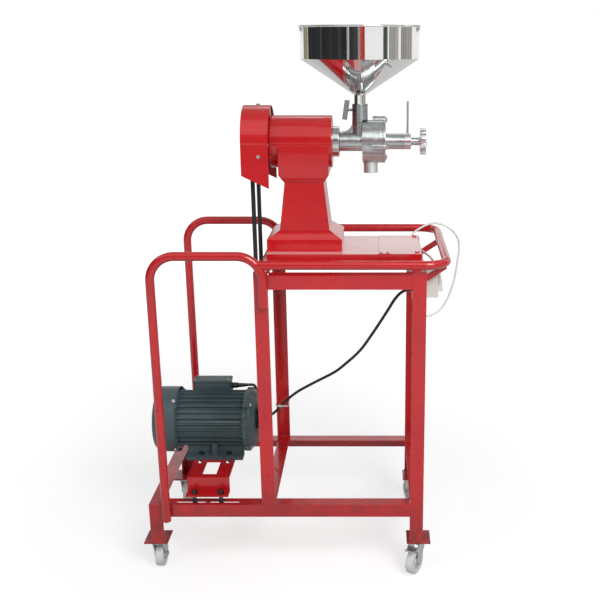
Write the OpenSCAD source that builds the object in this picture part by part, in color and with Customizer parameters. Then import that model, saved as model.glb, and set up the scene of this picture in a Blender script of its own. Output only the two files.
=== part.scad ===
// Coffee mill on a trolley: an electric motor low on the left drives the mill's
// spindle by one V-belt. The mill's axis runs along X, the front faces -Y, and the
// origin is on the floor under the middle of the trolley.

/* [Trolley frame] */
// Length of the base frame over its rails
base_len = 817; // [790:1:850]
// Depth of the frame over its rails
frame_depth = 488; // [476:1:520]
// Flange width of the angle iron
angle_w = 40; // [38:1:42]
// Thickness of the angle iron
angle_t = 4; // [3:0.5:5]
// Top of the base rails above the floor
base_z = 239; // [230:1:250]
// Top of the table rails above the floor
table_z = 942; // [930:1:960]
// Height of the leg ends above the table rails
leg_rise = 10; // [4:1:12]

/* [Tube work] */
// Outside diameter of the handle and loop tube
tube_d = 25.4; // [24:0.1:27]
// Wall of the tube
tube_t = 2; // [1.5:0.1:3]
// Middle line of the push handles' top runs above the table rails
handle_rise = 58; // [50:1:64]
// Bend radius of the push handles
handle_bend = 70; // [60:1:80]
// Distance of a push handle's left upright from the base's left end
handle_in = 55; // [50:1:65]
// Middle line of the table loop above the table rails
loop_rise = 33; // [30:1:35]
// Reach of the table loop past the table's right side
loop_reach = 69; // [66:1:76]
// Bend radius of the table loop
loop_bend = 60; // [54:1:64]

/* [Casters] */
// Height of a caster from the floor to its pad
caster_h = 105; // [102:1:112]
// Diameter of a caster wheel
wheel_d = 75; // [72:1:77]
// Width of a caster wheel
wheel_w = 25; // [22:1:27]
// Distance of the wheel's axle behind the kingpin
trail = 24; // [20:1:25]
// Length of a caster pad along the base
pad_w = 72; // [68:1:78]
// Thickness of a caster pad
pad_t = 5; // [4:0.5:6]

/* [Table and pedestal] */
// Width of the table box
box_w = 446; // [440:1:450]
// Depth of the table box
box_d = 258; // [250:1:270]
// Height of the table box
box_h = 34; // [30:1:40]
// Distance of the pedestal's middle from the table's left side
ped_from_left = 132; // [130:1:140]
// Width of the pedestal's foot
ped_w = 218; // [214:1:222]
// Depth of the pedestal's foot
ped_d = 192; // [186:1:200]
// Height of the mill's axis above the table box
axis_h = 307; // [300:1:316]

/* [Mill] */
// Diameter of the bearing housing
drum_d = 150; // [144:1:156]
// Length of the bearing housing
drum_len = 179; // [174:1:184]
// Diameter of the spindle
spindle_d = 30; // [28:1:32]
// Diameter of the barrel flange
flange_d = 89; // [84:1:94]
// Length of the barrel between its flange and the grinding chamber
barrel_len = 67; // [64:1:72]
// Diameter of the barrel
barrel_d = 57; // [54:1:60]
// Diameter of the grinding chamber
chamber_d = 123; // [120:1:128]
// Length of the grinding chamber
chamber_len = 59; // [57:1:64]
// Diameter of the outlet spout
spout_d = 42; // [38:1:43]
// Reach of the spout below the mill's axis
spout_drop = 90; // [84:1:100]
// Diameter of the feed throat
throat_d = 46; // [44:1:49]
// Height of the throat's mouth above the mill's axis
throat_h = 107; // [103:1:112]
// Length of the adjusting tube
adjust_len = 54; // [50:1:60]
// Diameter of the adjusting tube
adjust_d = 46; // [44:1:50]
// Diameter of the adjusting screw
screw_d = 23; // [22:1:25]
// Diameter of the hand wheel
hand_d = 77; // [72:1:82]

/* [Hopper] */
// Diameter of the hopper
hopper_d = 339; // [320:1:350]
// Height of the hopper's straight wall
hopper_wall = 87; // [80:1:96]
// Height of the hopper's cone
hopper_cone = 101; // [95:1:110]
// Diameter of the hopper's neck
neck_d = 34; // [32:1:35]
// Length of the neck between the cone and the throat
neck_show = 25; // [20:1:30]
// Thickness of the hopper's sheet
hopper_t = 1.5; // [1.2:0.1:2]

/* [Drive] */
// Outside diameter of the mill's pulley
mill_pulley_d = 132; // [124:1:138]
// Outside diameter of the motor's pulley
motor_pulley_d = 104; // [96:1:112]
// Distance of the belt from the bearing housing's end
belt_off = 49.5; // [47:0.5:52]
// Outside radius of the belt guard
guard_r = 104; // [101:1:108]
// Height of the motor's axis above its feet
motor_h = 100; // [98:1:104]
// Diameter over the motor's fins
motor_d = 186; // [180:1:190]
// Length of the motor's finned frame
motor_len = 230; // [222:1:236]
// Length of the fan cover
fan_cover_len = 61; // [58:1:66]
// Diameter of the motor's shaft
motor_shaft_d = 28; // [26:1:30]
// Height of the motor bracket above the base rails
bracket_h = 71; // [66:1:78]
// Width of the motor bracket
bracket_w = 127; // [122:1:134]

/* [Electrics] */
// Depth of the switch box from the rail
switch_depth = 36; // [34:1:40]
// Diameter of the power cord
cord_d = 7; // [6.5:0.1:7.2]
// Diameter of the motor lead
lead_d = 9; // [8:0.1:9.4]

/* [Hidden] */
$fn = 64;

// Radial clearance of a shaft running in its bore
run = 0.05;
// Clearance between curved faces that face each other
gap = 0.3;
// Overshoot of a cut past the face it opens
over = 1;
// Width of the weld line between two lengths of angle iron
weld = 0.1;

frame_red = [0.72, 0.06, 0.05];
steel = [0.76, 0.77, 0.78];
bright = [0.86, 0.87, 0.88];
zinc = [0.66, 0.67, 0.68];
slate = [0.33, 0.37, 0.42];
black = [0.08, 0.08, 0.08];
pale_grey = [0.72, 0.75, 0.74];

// Frame: ends of the base and table along X, half depth, heights
pad_out = 8;
pad_d = 74;
pad_over = pad_w / 2 + pad_out - angle_w / 2;
x0 = -(pad_over + base_len + loop_reach) / 2 + pad_over;
x1 = x0 + base_len;
box_left = 25;
box_right = 9;
table_w = box_w + box_left + box_right;
xt = x1 - table_w;
yf = frame_depth / 2;
pad_top = caster_h + pad_t;
leg_top = table_z + leg_rise;

// Tube work
tube_r = tube_d / 2;
tube_y = yf + tube_r + 0.2;
handle_z = table_z + handle_rise;
handle_xl = x0 + handle_in;
handle_xr = xt + angle_w - tube_r;
handle_foot = base_z - angle_w - 6;
handle_end = table_z - 88;
loop_z = table_z + loop_rise;
loop_x = x1 + loop_reach - tube_r;
brace_t = 5;
brace_h = 20;
brace_ys = [-yf + 29, 106];

// Casters: place and swivel angle of each, wheel trailing along +Y at angle 0
pad_xl = x0 + angle_w / 2 - pad_out;
pad_xr = x1 - angle_w / 2 + pad_out;
pad_y = yf - angle_w;
front_left = [pad_xl, -pad_y, 0];
rear_left = [pad_xl, pad_y, 0];
front_right = [pad_xr, -pad_y, 150];
rear_right = [pad_xr, pad_y, 20];
wheel_r = wheel_d / 2;
plate_w = 64;
plate_t = 3;
kingpin_r = 6;
crown_t = 6;
crown_top = caster_h - plate_t - 0.4;
arm_t = 3;
arm_in = wheel_w / 2 + 2;
axle_r = 5;
brake_pin_r = 3;
brake_y = trail + 8;
brake_z = wheel_d + 9;

// Table box and pedestal
box_t = 3;
box_x0 = xt + box_left;
box_x1 = box_x0 + box_w;
box_top = table_z + box_h;
ped_x = xt + ped_from_left;
ped_foot_h = 35;
ped_flare_h = 25;
ped_bevel_h = 23;
saddle_h = 89;
ped_neck_w = 113;
ped_neck_d = 124;
saddle_w = 144;
saddle_d = drum_d + 8;
ped_bolt_in = 22;
axis_z = box_top + axis_h;
saddle_z = axis_z - saddle_h;

// Mill, from the drum to the hand wheel along X
drum_r = drum_d / 2;
drum_x0 = ped_x - 8.5 - drum_len / 2;
drum_x1 = drum_x0 + drum_len;
spindle_r = spindle_d / 2;
bearing_r = spindle_r + 16;
bearing_w = 16;
flange_t = 20;
flange_x1 = drum_x1 + flange_t;
barrel_x1 = flange_x1 + barrel_len;
barrel_r = barrel_d / 2;
barrel_wall = 10;
feed_r = barrel_r - 7.5;
chamber_r = chamber_d / 2;
chamber_wall = 6;
chamber_x1 = barrel_x1 + chamber_len;
cover_t = 8;
cover_x1 = chamber_x1 + cover_t;
lug_r = 12;
lug_x0 = chamber_x1 - 30;
lug_at = chamber_r + 2.5;
lug_angles = [188, 308, 68];
bolt_r = 4;
burr_r = chamber_r - 11;
burr_x0 = barrel_x1 + 16;
burr_t = 12;
burr_gap = 2;
spout_x = barrel_x1 + 24;
spout_r = spout_d / 2;
spout_t = 2;
throat_x = barrel_x1 - 7;
throat_r = throat_d / 2;
throat_z = axis_z + throat_h;
web_r = 28;
web_w = 18;
web_x = throat_x - throat_r - web_r;
web_z = axis_z + barrel_r + web_r;
socket_h = 22;
neck_r = neck_d / 2;
clamp_z = throat_z - 17;
plate_x = throat_x - throat_r - 17.5;
plate_half = 7.5;
plate_lean = 9;
adjust_r = adjust_d / 2;
tube_x1 = cover_x1 + adjust_len;
nut_len = 19;
nut_x1 = tube_x1 + gap + nut_len;
lever_r = 3.2;
lever_top = axis_z + 115;
screw_r = screw_d / 2;
screw_show = 27;
hand_x0 = nut_x1 + screw_show;
hand_t = 17;
hand_r = hand_d / 2;

// Hopper
hopper_r = hopper_d / 2;
neck_z0 = throat_z - socket_h;
cone_z = throat_z + neck_show;
wall_z = cone_z + hopper_cone;
rim_z = wall_z + hopper_wall;
bead_r = 3;

// Belt drive
belt_x = drum_x0 - belt_off;
belt_top_w = 12.7;
belt_h = 8;
belt_low_w = belt_top_w - 2 * belt_h * tan(20);
pulley_w = 24;
mill_belt_r = mill_pulley_d / 2;
motor_belt_r = motor_pulley_d / 2;
motor_z = base_z + bracket_h + motor_h;
belt_span = axis_z - motor_z;
belt_lean = asin((mill_belt_r - motor_belt_r) / belt_span);
guard_t = 1.5;
guard_x0 = belt_x - 26.5;
guard_x1 = drum_x0 + 2;
guard_drop = 38;
skirt_lap = 12;
skirt_left = 86;
skirt_right = 123;
tab_w = 20;
tab_t = 4;

// Motor
motor_x1 = belt_x - 17;
shield_t = 28;
frame_x1 = motor_x1 - shield_t;
frame_x0 = frame_x1 - motor_len;
motor_cx = frame_x1 - motor_len * 0.4457;
fan_x0 = frame_x0 - fan_cover_len;
fan_cover_r = motor_d / 2 + 10;
fin_r = motor_d / 2;
shell_r = fin_r - 9;
stator_r = 46;
shaft_r = motor_shaft_d / 2;
bracket_z = base_z + bracket_h;
bracket_t = 4;
bracket_flange_z = base_z + 23;
bracket_y = yf - angle_w + 3;
bracket_bolt_x = 39.5;
bolt_y = yf - angle_w / 2;
stud_r = 5;
foot_bolt_x = 43;
foot_bolt_y = 72;
slot_w = 11;
rail_slot = 90;
rail_slot_pitch = 100;
tbox_w = 118;
tbox_d = 48;
tbox_h = 36;
tbox_x = motor_cx - 17;
tbox_y = 40;
tbox_z = motor_z + shell_r + 1;
tbox_pad = 45;
tbox_lip = 2;
fin_step = 12;
fin_missing = 72;
foot_l = 88;
foot_in = 52;
foot_out = 92;
foot_t = 12;
foot_wall = 8;
fan_gap = 14;
fan_len = 30;
fan_hub_r = 26;
fan_root_r = 20;
fan_tip_r = 80;
rotor_in = 30;
fan_slot_in = 28;
fan_slot_out = 78;

// Switch box on the right table rail's outer face
switch_y0 = -190;
switch_y1 = -120;
switch_z0 = table_z - 78;
switch_z1 = table_z - 13;
switch_t = 2.5;
cover_x = x1 + switch_depth - 6;
switch_x1 = x1 + switch_depth;
button_r = 8;
button_ys = [-172, -134];
button_z = switch_z0 + 45;
button_out = 6;
gland_x = switch_x1 + 7.5;
gland_y = -150;
gland_z = switch_z0 + 33;
tie_rise = 132;
lead_in = [x1 - 18, -162, switch_z0 + 18];
lead_out = [tbox_x + tbox_w / 2 + 18, tbox_y, tbox_z + 13];

// Route of the power cord from its gland along the right rail, over the loop's rear
// corner and back behind the front right leg to the coil, at this frame's own sizes
cord_route = [
    [429.5, -150, 897], [429.5, -149.2, 910], [427.3, -142.5, 924], [422.5, -128, 936.5], [416, -104, 945],
    [410, -76, 949], [402, -38, 951], [393, 0, 950], [385, 40, 947.5], [382.2, 76, 946.5],
    [382.2, 108, 946.5],
    [380.8, 133, 947], [371, 154, 949.5], [362, 174, 953.5], [359, 193, 959.5], [367, 210, 968],
    [386, 222.5, 979], [408, 233.5, 988.5], [430, 243, 992.5], [452, 249, 990], [476, 249, 981],
    [499, 238, 965], [512, 212, 945], [511, 165, 921], [501, 108, 894], [487, 35, 861],
    [466, -44, 833], [447, -96, 817], [428, -131, 807], [405, -153, 801], [381, -157, 799.5],
    [362, -140, 800.5], [356.5, -108, 803], [358, -68, 805], [359.5, -20, 804], [360, 30, 799],
    [361, 78, 795], [361.8, 112, 799.5], [362.1, 141.4, 801.9]
];
// Route of the motor lead from the terminal box round the rear left leg to the switch
lead_route = [
    [-197, 40, 508], [-180, 41, 508], [-164, 46, 507], [-152, 56, 503], [-146, 70, 494],
    [-144.5, 86, 476], [-147.5, 106, 446], [-154, 131, 402.5], [-160.3, 152.5, 364.5],
    [-158.3, 164.4, 348.2], [-147.9, 177.6, 336.8], [-131.6, 189.1, 333.1], [-113.2, 196.2, 337.9],
    [-97, 197.2, 350], [-76, 196, 373], [-50, 190, 401], [-13, 162, 439], [40, 115, 486],
    [111, 48, 548], [150, 9, 592], [196, -38, 652], [233, -77, 717], [274, -123, 797],
    [300, -148, 848], [320, -158, 872], [342, -161.5, 881], [368, -162, 882]
];

// Coil of spare cord in a plane across X, strapped to the rear right leg
coil_turns = 4.5;
coil_pitch = cord_d + 0.9;
coil_r = 5.6 * cord_d + coil_turns / 4 * coil_pitch;
coil_x = x1 - angle_w / 2;
coil_y = yf - angle_w - 4 - coil_r - cord_d / 2;
coil_z = table_z - 92;
tail_top = coil_z + coil_r;
plug_y = coil_y - coil_r - cord_d / 2 - 17;
plug_z = coil_z;

// A block between two opposite corners
module slab(a, b) {
    translate([min(a.x, b.x), min(a.y, b.y), min(a.z, b.z)])
        cube([abs(b.x - a.x), abs(b.y - a.y), abs(b.z - a.z)]);
}

// Cylinders along each axis between two stations
module xcyl(r, xa, xb, y = 0, z = 0) {
    translate([xa, y, z])
        rotate([0, 90, 0])
            cylinder(r = r, h = xb - xa);
}
module ycyl(r, ya, yb, x = 0, z = 0) {
    translate([x, yb, z])
        rotate([90, 0, 0])
            cylinder(r = r, h = yb - ya);
}
module zcyl(r, za, zb, x = 0, y = 0) {
    translate([x, y, za])
        cylinder(r = r, h = zb - za);
}

// A turned shape about a line along X at height z, from points [radius, x]
module xturn(points, z) {
    translate([0, 0, z])
        rotate([0, 90, 0])
            rotate_extrude()
                polygon(points);
}

// A slot with round ends along X or Y, cut through between two heights
module x_slot(x, y, length, width, za, zb) {
    slab([x - length / 2 + width / 2, y - width / 2, za], [x + length / 2 - width / 2, y + width / 2, zb]);
    for (k = [-1, 1])
        zcyl(width / 2, za, zb, x + k * (length - width) / 2, y);
}
module y_slot(x, y, length, width, za, zb) {
    slab([x - width / 2, y - length / 2 + width / 2, za], [x + width / 2, y + length / 2 - width / 2, zb]);
    for (k = [-1, 1])
        zcyl(width / 2, za, zb, x, y + k * (length - width) / 2);
}

// Angle iron along X: the upright flange at y, the level flange towards the middle
module rail_x(xa, xb, y, z) {
    inward = -sign(y);
    slab([xa, y, z], [xb, y + inward * angle_t, z - angle_w]);
    slab([xa, y, z], [xb, y + inward * angle_w, z - angle_t]);
}

// Angle iron along Y: the upright flange at x, the level flange on the inward side
module rail_y(x, inward, z) {
    end = yf - angle_w - weld;
    slab([x, -end, z], [x + inward * angle_t, end, z - angle_w]);
    slab([x, -end, z], [x + inward * angle_w, end, z - angle_t]);
}

// Upright angle iron with its corner at x, y
module post(x, y, inward, za, zb) {
    slab([x, y, za], [x + inward * angle_w, y - sign(y) * angle_t, zb]);
    slab([x, y, za], [x + inward * angle_t, y - sign(y) * angle_w, zb]);
}

module base_rails() {
    color(frame_red) {
        for (s = [-1, 1])
            difference() {
                rail_x(x0 + angle_w + weld, x1 - angle_w - weld, s * yf, base_z);
                for (k = [-1, 1])
                    x_slot(motor_cx + k * rail_slot_pitch / 2, s * bolt_y, rail_slot, slot_w,
                        base_z - angle_t - over, base_z + over);
            }
        slab([x0, -yf, base_z], [x0 + angle_w, yf, base_z - angle_t]);
        slab([x0, -yf + angle_w, base_z], [x0 + angle_t, yf - angle_w, base_z - angle_w]);
        rail_y(xt, 1, base_z);
        rail_y(x1, -1, base_z);
    }
}

// Short posts at the base's left corners and the four table legs
module frame_posts() {
    color(frame_red)
        for (s = [-1, 1]) {
            post(x0, s * yf, 1, pad_top, base_z - angle_t);
            post(xt, s * yf, 1, base_z, leg_top);
            post(x1, s * yf, -1, pad_top, leg_top);
        }
}

module table_rails() {
    color(frame_red) {
        for (s = [-1, 1])
            rail_x(xt + angle_w + weld, x1 - angle_w - weld, s * yf, table_z);
        rail_y(xt, 1, table_z);
        difference() {
            rail_y(x1, -1, table_z);
            table_bolt_places()
                zcyl(bolt_r + gap, table_z - angle_t - over, table_z + over);
        }
    }
}

// Cross section of the tube, and of the solid bar that takes its place in a cut
module tube_ring(r, wall) {
    difference() {
        circle(r = r);
        if (wall > 0)
            circle(r = r - wall);
    }
}
module tube_straight(r, wall, a, b) {
    d = b - a;
    translate(a)
        rotate([0, acos(d.z / norm(d)), atan2(d.y, d.x)])
            linear_extrude(norm(d))
                tube_ring(r, wall);
}
module tube_bend(bend, r, wall) {
    rotate_extrude(angle = 90)
        translate([bend, 0])
            tube_ring(r, wall);
}

// Push handle: up from the base rail, over, and down on the table leg
module handle(y, r, wall) {
    top = handle_z - handle_bend;
    tube_straight(r, wall, [handle_xl, y, handle_foot], [handle_xl, y, top]);
    tube_straight(r, wall, [handle_xl + handle_bend, y, handle_z], [handle_xr - handle_bend, y, handle_z]);
    tube_straight(r, wall, [handle_xr, y, handle_end], [handle_xr, y, top]);
    translate([handle_xl + handle_bend, y, top])
        rotate([90, 0, 0])
            rotate(90)
                tube_bend(handle_bend, r, wall);
    translate([handle_xr - handle_bend, y, top])
        rotate([90, 0, 0])
            tube_bend(handle_bend, r, wall);
}

module push_handles() {
    color(frame_red)
        for (s = [-1, 1])
            handle(s * tube_y, tube_r, tube_t);
}

// Level tube loop from one push handle round the table's right side to the other:
// its right side with both bends, and a straight run at the front or rear
module loop_side(r, wall) {
    side = loop_x - loop_bend;
    turn = tube_y - loop_bend;
    tube_straight(r, wall, [loop_x, -turn, loop_z], [loop_x, turn, loop_z]);
    translate([side, turn, loop_z])
        tube_bend(loop_bend, r, wall);
    translate([side, -turn, loop_z])
        rotate(-90)
            tube_bend(loop_bend, r, wall);
}
module loop_run(s) {
    rise = loop_z - handle_z + handle_bend;
    start = handle_xr - handle_bend + sqrt(handle_bend * handle_bend - rise * rise);
    difference() {
        tube_straight(tube_r, tube_t, [loop_x - loop_bend, s * tube_y, loop_z],
            [start, s * tube_y, loop_z]);
        translate([handle_xr - handle_bend, s * tube_y, handle_z - handle_bend])
            rotate([90, 0, 0])
                tube_bend(handle_bend, tube_r + gap, 0);
    }
}

module table_loop() {
    color(frame_red) {
        loop_side(tube_r, tube_t);
        for (s = [-1, 1])
            loop_run(s);
    }
}

// Flat bars on edge from the table's right rail up to the loop
module loop_braces() {
    low = table_z - 4;
    color(frame_red)
        for (y = brace_ys)
            difference() {
                translate([0, y + brace_t / 2, 0])
                    rotate([90, 0, 0])
                        linear_extrude(brace_t)
                            polygon([[x1, low - brace_h], [x1, low], [loop_x, loop_z],
                                [loop_x, loop_z - brace_h]]);
                loop_side(tube_r + gap, 0);
            }
}

// Places of the casters, and of the casters' own frames
module at_caster(c) {
    translate([c.x, c.y, 0])
        rotate(c.z)
            children();
}

module caster_pads() {
    color(frame_red)
        for (c = [front_left, rear_left, front_right, rear_right])
            translate([c.x, c.y, 0])
                slab([-pad_w / 2, -pad_d / 2, caster_h], [pad_w / 2, pad_d / 2, pad_top]);
}

// Caster top plate with its kingpin and the pin's head under the fork
module caster_plates() {
    head_top = crown_top - crown_t - 0.4;
    color(zinc)
        for (c = [front_left, rear_left, front_right, rear_right])
            translate([c.x, c.y, 0]) {
                slab([-plate_w / 2, -plate_w / 2, caster_h - plate_t],
                    [plate_w / 2, plate_w / 2, caster_h]);
                zcyl(kingpin_r, head_top - 4, caster_h - plate_t);
                zcyl(kingpin_r + 4, head_top - 4, head_top);
            }
}

// Bent fork with its axle bolt, and the brake's pin if it has one
module fork(brake) {
    color(zinc) {
        difference() {
            slab([-arm_in - arm_t, -20, crown_top - crown_t], [arm_in + arm_t, 24, crown_top]);
            zcyl(kingpin_r + run, crown_top - crown_t - over, crown_top + over);
        }
        for (s = [-1, 1])
            translate([s * (arm_in + arm_t / 2) - arm_t / 2, 0, 0])
                rotate([90, 0, 90])
                    linear_extrude(arm_t) {
                        polygon([[-20, crown_top], [24, crown_top], [trail + 12, wheel_r],
                            [trail - 12, wheel_r]]);
                        translate([trail, wheel_r])
                            circle(r = 12);
                        if (brake) {
                            polygon([[10, crown_top], [24, crown_top], [brake_y + 6, brake_z],
                                [trail, brake_z - 8]]);
                            translate([brake_y, brake_z])
                                circle(r = 7);
                        }
                    }
        xcyl(axle_r, -arm_in - arm_t - 4, arm_in + arm_t + 4, trail, wheel_r);
        for (s = [-1, 1])
            translate([s * (arm_in + arm_t + 2) - 2, trail, wheel_r])
                rotate([0, 90, 0])
                    cylinder(r = 8, h = 4, $fn = 6);
        if (brake)
            xcyl(brake_pin_r, -arm_in - arm_t / 2, arm_in + arm_t / 2, brake_y, brake_z);
    }
}

// Wheel with a hub, a recessed web and a rounded tread
module wheel() {
    hub = wheel_w / 2 + 1.4;
    half = wheel_w / 2;
    color(pale_grey)
        translate([0, trail, 0])
            xturn([[axle_r + run, -hub], [13, -hub], [13, -half + 7], [wheel_r - 10, -half + 5],
                [wheel_r - 9, -half], [wheel_r - 3, -half], [wheel_r, -half + 4], [wheel_r, half - 4],
                [wheel_r - 3, half], [wheel_r - 9, half], [wheel_r - 10, half - 5], [13, half - 7],
                [13, hub], [axle_r + run, hub]], wheel_r);
}

// Foot pedal of a braked caster, on its pin above the wheel's trailing side
module brake_pedal() {
    half = arm_in - 1;
    color(black)
        difference() {
            union() {
                xcyl(brake_pin_r + 3, -half, half, brake_y, brake_z);
                slab([-half, brake_y, brake_z + 1], [half, brake_y + 27, brake_z + 4]);
                slab([-half, brake_y + 24, brake_z + 1], [half, brake_y + 27, brake_z + 7]);
            }
            xcyl(brake_pin_r + run, -half - over, half + over, brake_y, brake_z);
        }
}

// Inverted sheet tray that carries the pedestal
module table_box() {
    color(frame_red)
        difference() {
            slab([box_x0, -box_d / 2, table_z], [box_x1, box_d / 2, box_top]);
            slab([box_x0 + box_t, -box_d / 2 + box_t, table_z - over],
                [box_x1 - box_t, box_d / 2 - box_t, box_top - box_t]);
            table_bolt_places()
                zcyl(bolt_r + gap, box_top - box_t - over, box_top + over);
            pedestal_bolt_places()
                zcyl(stud_r + gap, box_top - box_t - over, box_top + over);
        }
}

module table_bolt_places() {
    for (s = [-1, 1])
        translate([x1 - 21, s * (box_d / 2 - 19), 0])
            children();
}
module pedestal_bolt_places() {
    for (i = [-1, 1], j = [-1, 1])
        translate([ped_x + i * (ped_w / 2 - ped_bolt_in), j * (ped_d / 2 - ped_bolt_in), 0])
            children();
}

// Hexagon head or nut standing on a height
module hex(across, za, zb) {
    translate([0, 0, za])
        cylinder(r = across / sqrt(3), h = zb - za, $fn = 6);
}

// Bolts of the tray on the right rail, and of the pedestal from under the tray
module table_bolts() {
    color(zinc) {
        table_bolt_places() {
            zcyl(bolt_r, table_z - angle_t - 12, box_top + 5.5);
            hex(13, box_top, box_top + 5.5);
            hex(13, table_z - angle_t - 7, table_z - angle_t);
        }
        pedestal_bolt_places() {
            zcyl(stud_r, box_top - box_t - 6, box_top + 22);
            hex(17, box_top - box_t - 6, box_top - box_t);
        }
    }
}

// Straight-sided taper between two rectangles
module taper(w0, d0, w1, d1, za, zb) {
    low = [for (c = [[-1, -1], [1, -1], [1, 1], [-1, 1]]) [c.x * w0 / 2, c.y * d0 / 2, za]];
    high = [for (c = [[-1, -1], [1, -1], [1, 1], [-1, 1]]) [c.x * w1 / 2, c.y * d1 / 2, zb]];
    polyhedron(concat(low, high), [[0, 1, 2, 3], [7, 6, 5, 4], [0, 4, 5, 1], [1, 5, 6, 2],
        [2, 6, 7, 3], [3, 7, 4, 0]]);
}

// Cast pedestal: foot, flare, tapering column and the saddle under the drum
module pedestal() {
    foot_z = box_top + ped_foot_h;
    column_z = foot_z + ped_flare_h;
    neck_z = saddle_z - ped_bevel_h;
    color(frame_red)
        difference() {
            translate([ped_x, 0, 0])
                union() {
                    slab([-ped_w / 2, -ped_d / 2, box_top], [ped_w / 2, ped_d / 2, foot_z]);
                    taper(ped_w, ped_d, saddle_w, saddle_d - 8, foot_z, column_z);
                    taper(saddle_w, saddle_d - 8, ped_neck_w, ped_neck_d, column_z, neck_z);
                    taper(ped_neck_w, ped_neck_d, saddle_w, saddle_d, neck_z, saddle_z);
                    slab([-saddle_w / 2, -saddle_d / 2, saddle_z],
                        [saddle_w / 2, saddle_d / 2, axis_z - 8]);
                }
            xcyl(drum_r + 0.2, drum_x0 - over, drum_x1 + over, 0, axis_z);
            translate([ped_x, 0, 0])
                taper(ped_w - 88, ped_d - 88, ped_neck_w - 24, ped_neck_d - 34, box_top - over, neck_z);
            pedestal_bolt_places()
                zcyl(stud_r + 0.1, box_top - over, box_top + 24);
        }
}

// Hollow drum with a bearing seat in each end wall
module bearing_housing() {
    seat = bearing_r + 0.02;
    seat_l = bearing_w + 2;
    wall = seat_l + 6;
    lip = bearing_r - 6;
    skin = drum_r - 10;
    color(frame_red)
        xturn([[seat, drum_x0], [drum_r, drum_x0], [drum_r, drum_x1], [seat, drum_x1],
            [seat, drum_x1 - seat_l], [lip, drum_x1 - seat_l], [lip, drum_x1 - wall],
            [skin, drum_x1 - wall],
            [skin, drum_x0 + wall], [lip, drum_x0 + wall], [lip, drum_x0 + seat_l],
            [seat, drum_x0 + seat_l]], axis_z);
}

module spindle_bearings() {
    color(bright)
        for (x = [drum_x0 + 2, drum_x1 - 2 - bearing_w])
            difference() {
                xcyl(bearing_r, x, x + bearing_w, 0, axis_z);
                xcyl(spindle_r + run, x - over, x + bearing_w + over, 0, axis_z);
            }
}

module barrel_flange() {
    color(bright)
        difference() {
            xcyl(flange_d / 2, drum_x1, flange_x1, 0, axis_z);
            xcyl(spindle_r + 2, drum_x1 - over, flange_x1 + over, 0, axis_z);
        }
}

// Barrel round the auger, with the feed throat and its curved web cast on it
module mill_barrel() {
    shoulder = axis_z + chamber_r + 0.8;
    color(steel)
        difference() {
            union() {
                xcyl(barrel_r, flange_x1, barrel_x1, 0, axis_z);
                zcyl(throat_r, shoulder, throat_z, throat_x);
                intersection() {
                    zcyl(throat_r, axis_z, shoulder, throat_x);
                    slab([flange_x1, -throat_d, axis_z - over], [barrel_x1, throat_d, shoulder + over]);
                }
                difference() {
                    slab([web_x, -web_w / 2, axis_z + barrel_r - 6], [web_x + web_r + 5, web_w / 2, web_z]);
                    ycyl(web_r, -web_w, web_w, web_x, web_z);
                }
            }
            xcyl(spindle_r + gap, flange_x1 - over, flange_x1 + barrel_wall + over, 0, axis_z);
            xcyl(feed_r, flange_x1 + barrel_wall, barrel_x1 + over, 0, axis_z);
            zcyl(neck_r + 0.25, throat_z - socket_h, throat_z + over, throat_x);
            zcyl(neck_r - 3, shoulder + 6, throat_z, throat_x);
            slab([throat_x - 15, -neck_r + 4, axis_z], [throat_x + 3, neck_r - 4, shoulder + 8]);
            xcyl(bolt_r + 0.1, throat_x - throat_d, throat_x, 0, clamp_z);
        }
}

// Places of the chamber's lugs round the mill's axis
module lug_places() {
    for (a = lug_angles)
        translate([0, lug_at * cos(a), axis_z + lug_at * sin(a)])
            children();
}

module grinding_chamber() {
    color(steel)
        difference() {
            union() {
                xcyl(chamber_r, barrel_x1, chamber_x1, 0, axis_z);
                lug_places()
                    xcyl(lug_r, lug_x0, chamber_x1);
            }
            xcyl(chamber_r - chamber_wall, barrel_x1 + 8, chamber_x1 + over, 0, axis_z);
            xcyl(feed_r, barrel_x1 - over, barrel_x1 + 8 + over, 0, axis_z);
            lug_places()
                xcyl(bolt_r + 0.2, lug_x0 + 3, chamber_x1 + over);
            zcyl(spout_r - spout_t, axis_z - chamber_r - over, axis_z - chamber_r / 2, spout_x);
        }
}

// Cover with the adjusting tube for the screw
module chamber_cover() {
    color(steel)
        difference() {
            union() {
                xcyl(chamber_r, chamber_x1, cover_x1, 0, axis_z);
                lug_places()
                    xcyl(lug_r, chamber_x1, cover_x1);
                xcyl(adjust_r, cover_x1, tube_x1, 0, axis_z);
            }
            xcyl(screw_r + 0.08, chamber_x1 - over, tube_x1 + over, 0, axis_z);
            lug_places()
                xcyl(bolt_r + 0.2, chamber_x1 - over, cover_x1 + over);
        }
}

// Lug bolts of the chamber, and the guard's crown bolt and skirt screws
module mill_bolts() {
    screw_x = guard_x1 - 28;
    screw_z = axis_z - guard_drop + skirt_lap / 2;
    tab_top = axis_z + guard_r - guard_t - 0.6;
    color(zinc) {
        lug_places() {
            xcyl(bolt_r, lug_x0 + 4, cover_x1 + 5.5);
            rotate([0, 90, 0])
                hex(13, cover_x1, cover_x1 + 5.5);
        }
        for (s = [-1, 1]) {
            ycyl(2.5, min(s * (guard_r - 5), s * (guard_r + 4)), max(s * (guard_r - 5), s * (guard_r + 4)),
                screw_x, screw_z);
            ycyl(5, min(s * (guard_r + guard_t + 0.1), s * (guard_r + guard_t + 3)),
                max(s * (guard_r + guard_t + 0.1), s * (guard_r + guard_t + 3)), screw_x, screw_z);
        }
        translate([drum_x0 - 34, 0, 0]) {
            zcyl(3, tab_top - tab_t - 8, axis_z + guard_r + 4);
            hex(10, axis_z + guard_r + 0.1, axis_z + guard_r + 4);
            hex(10, tab_top - tab_t - 5, tab_top - tab_t);
        }
    }
}

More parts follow.
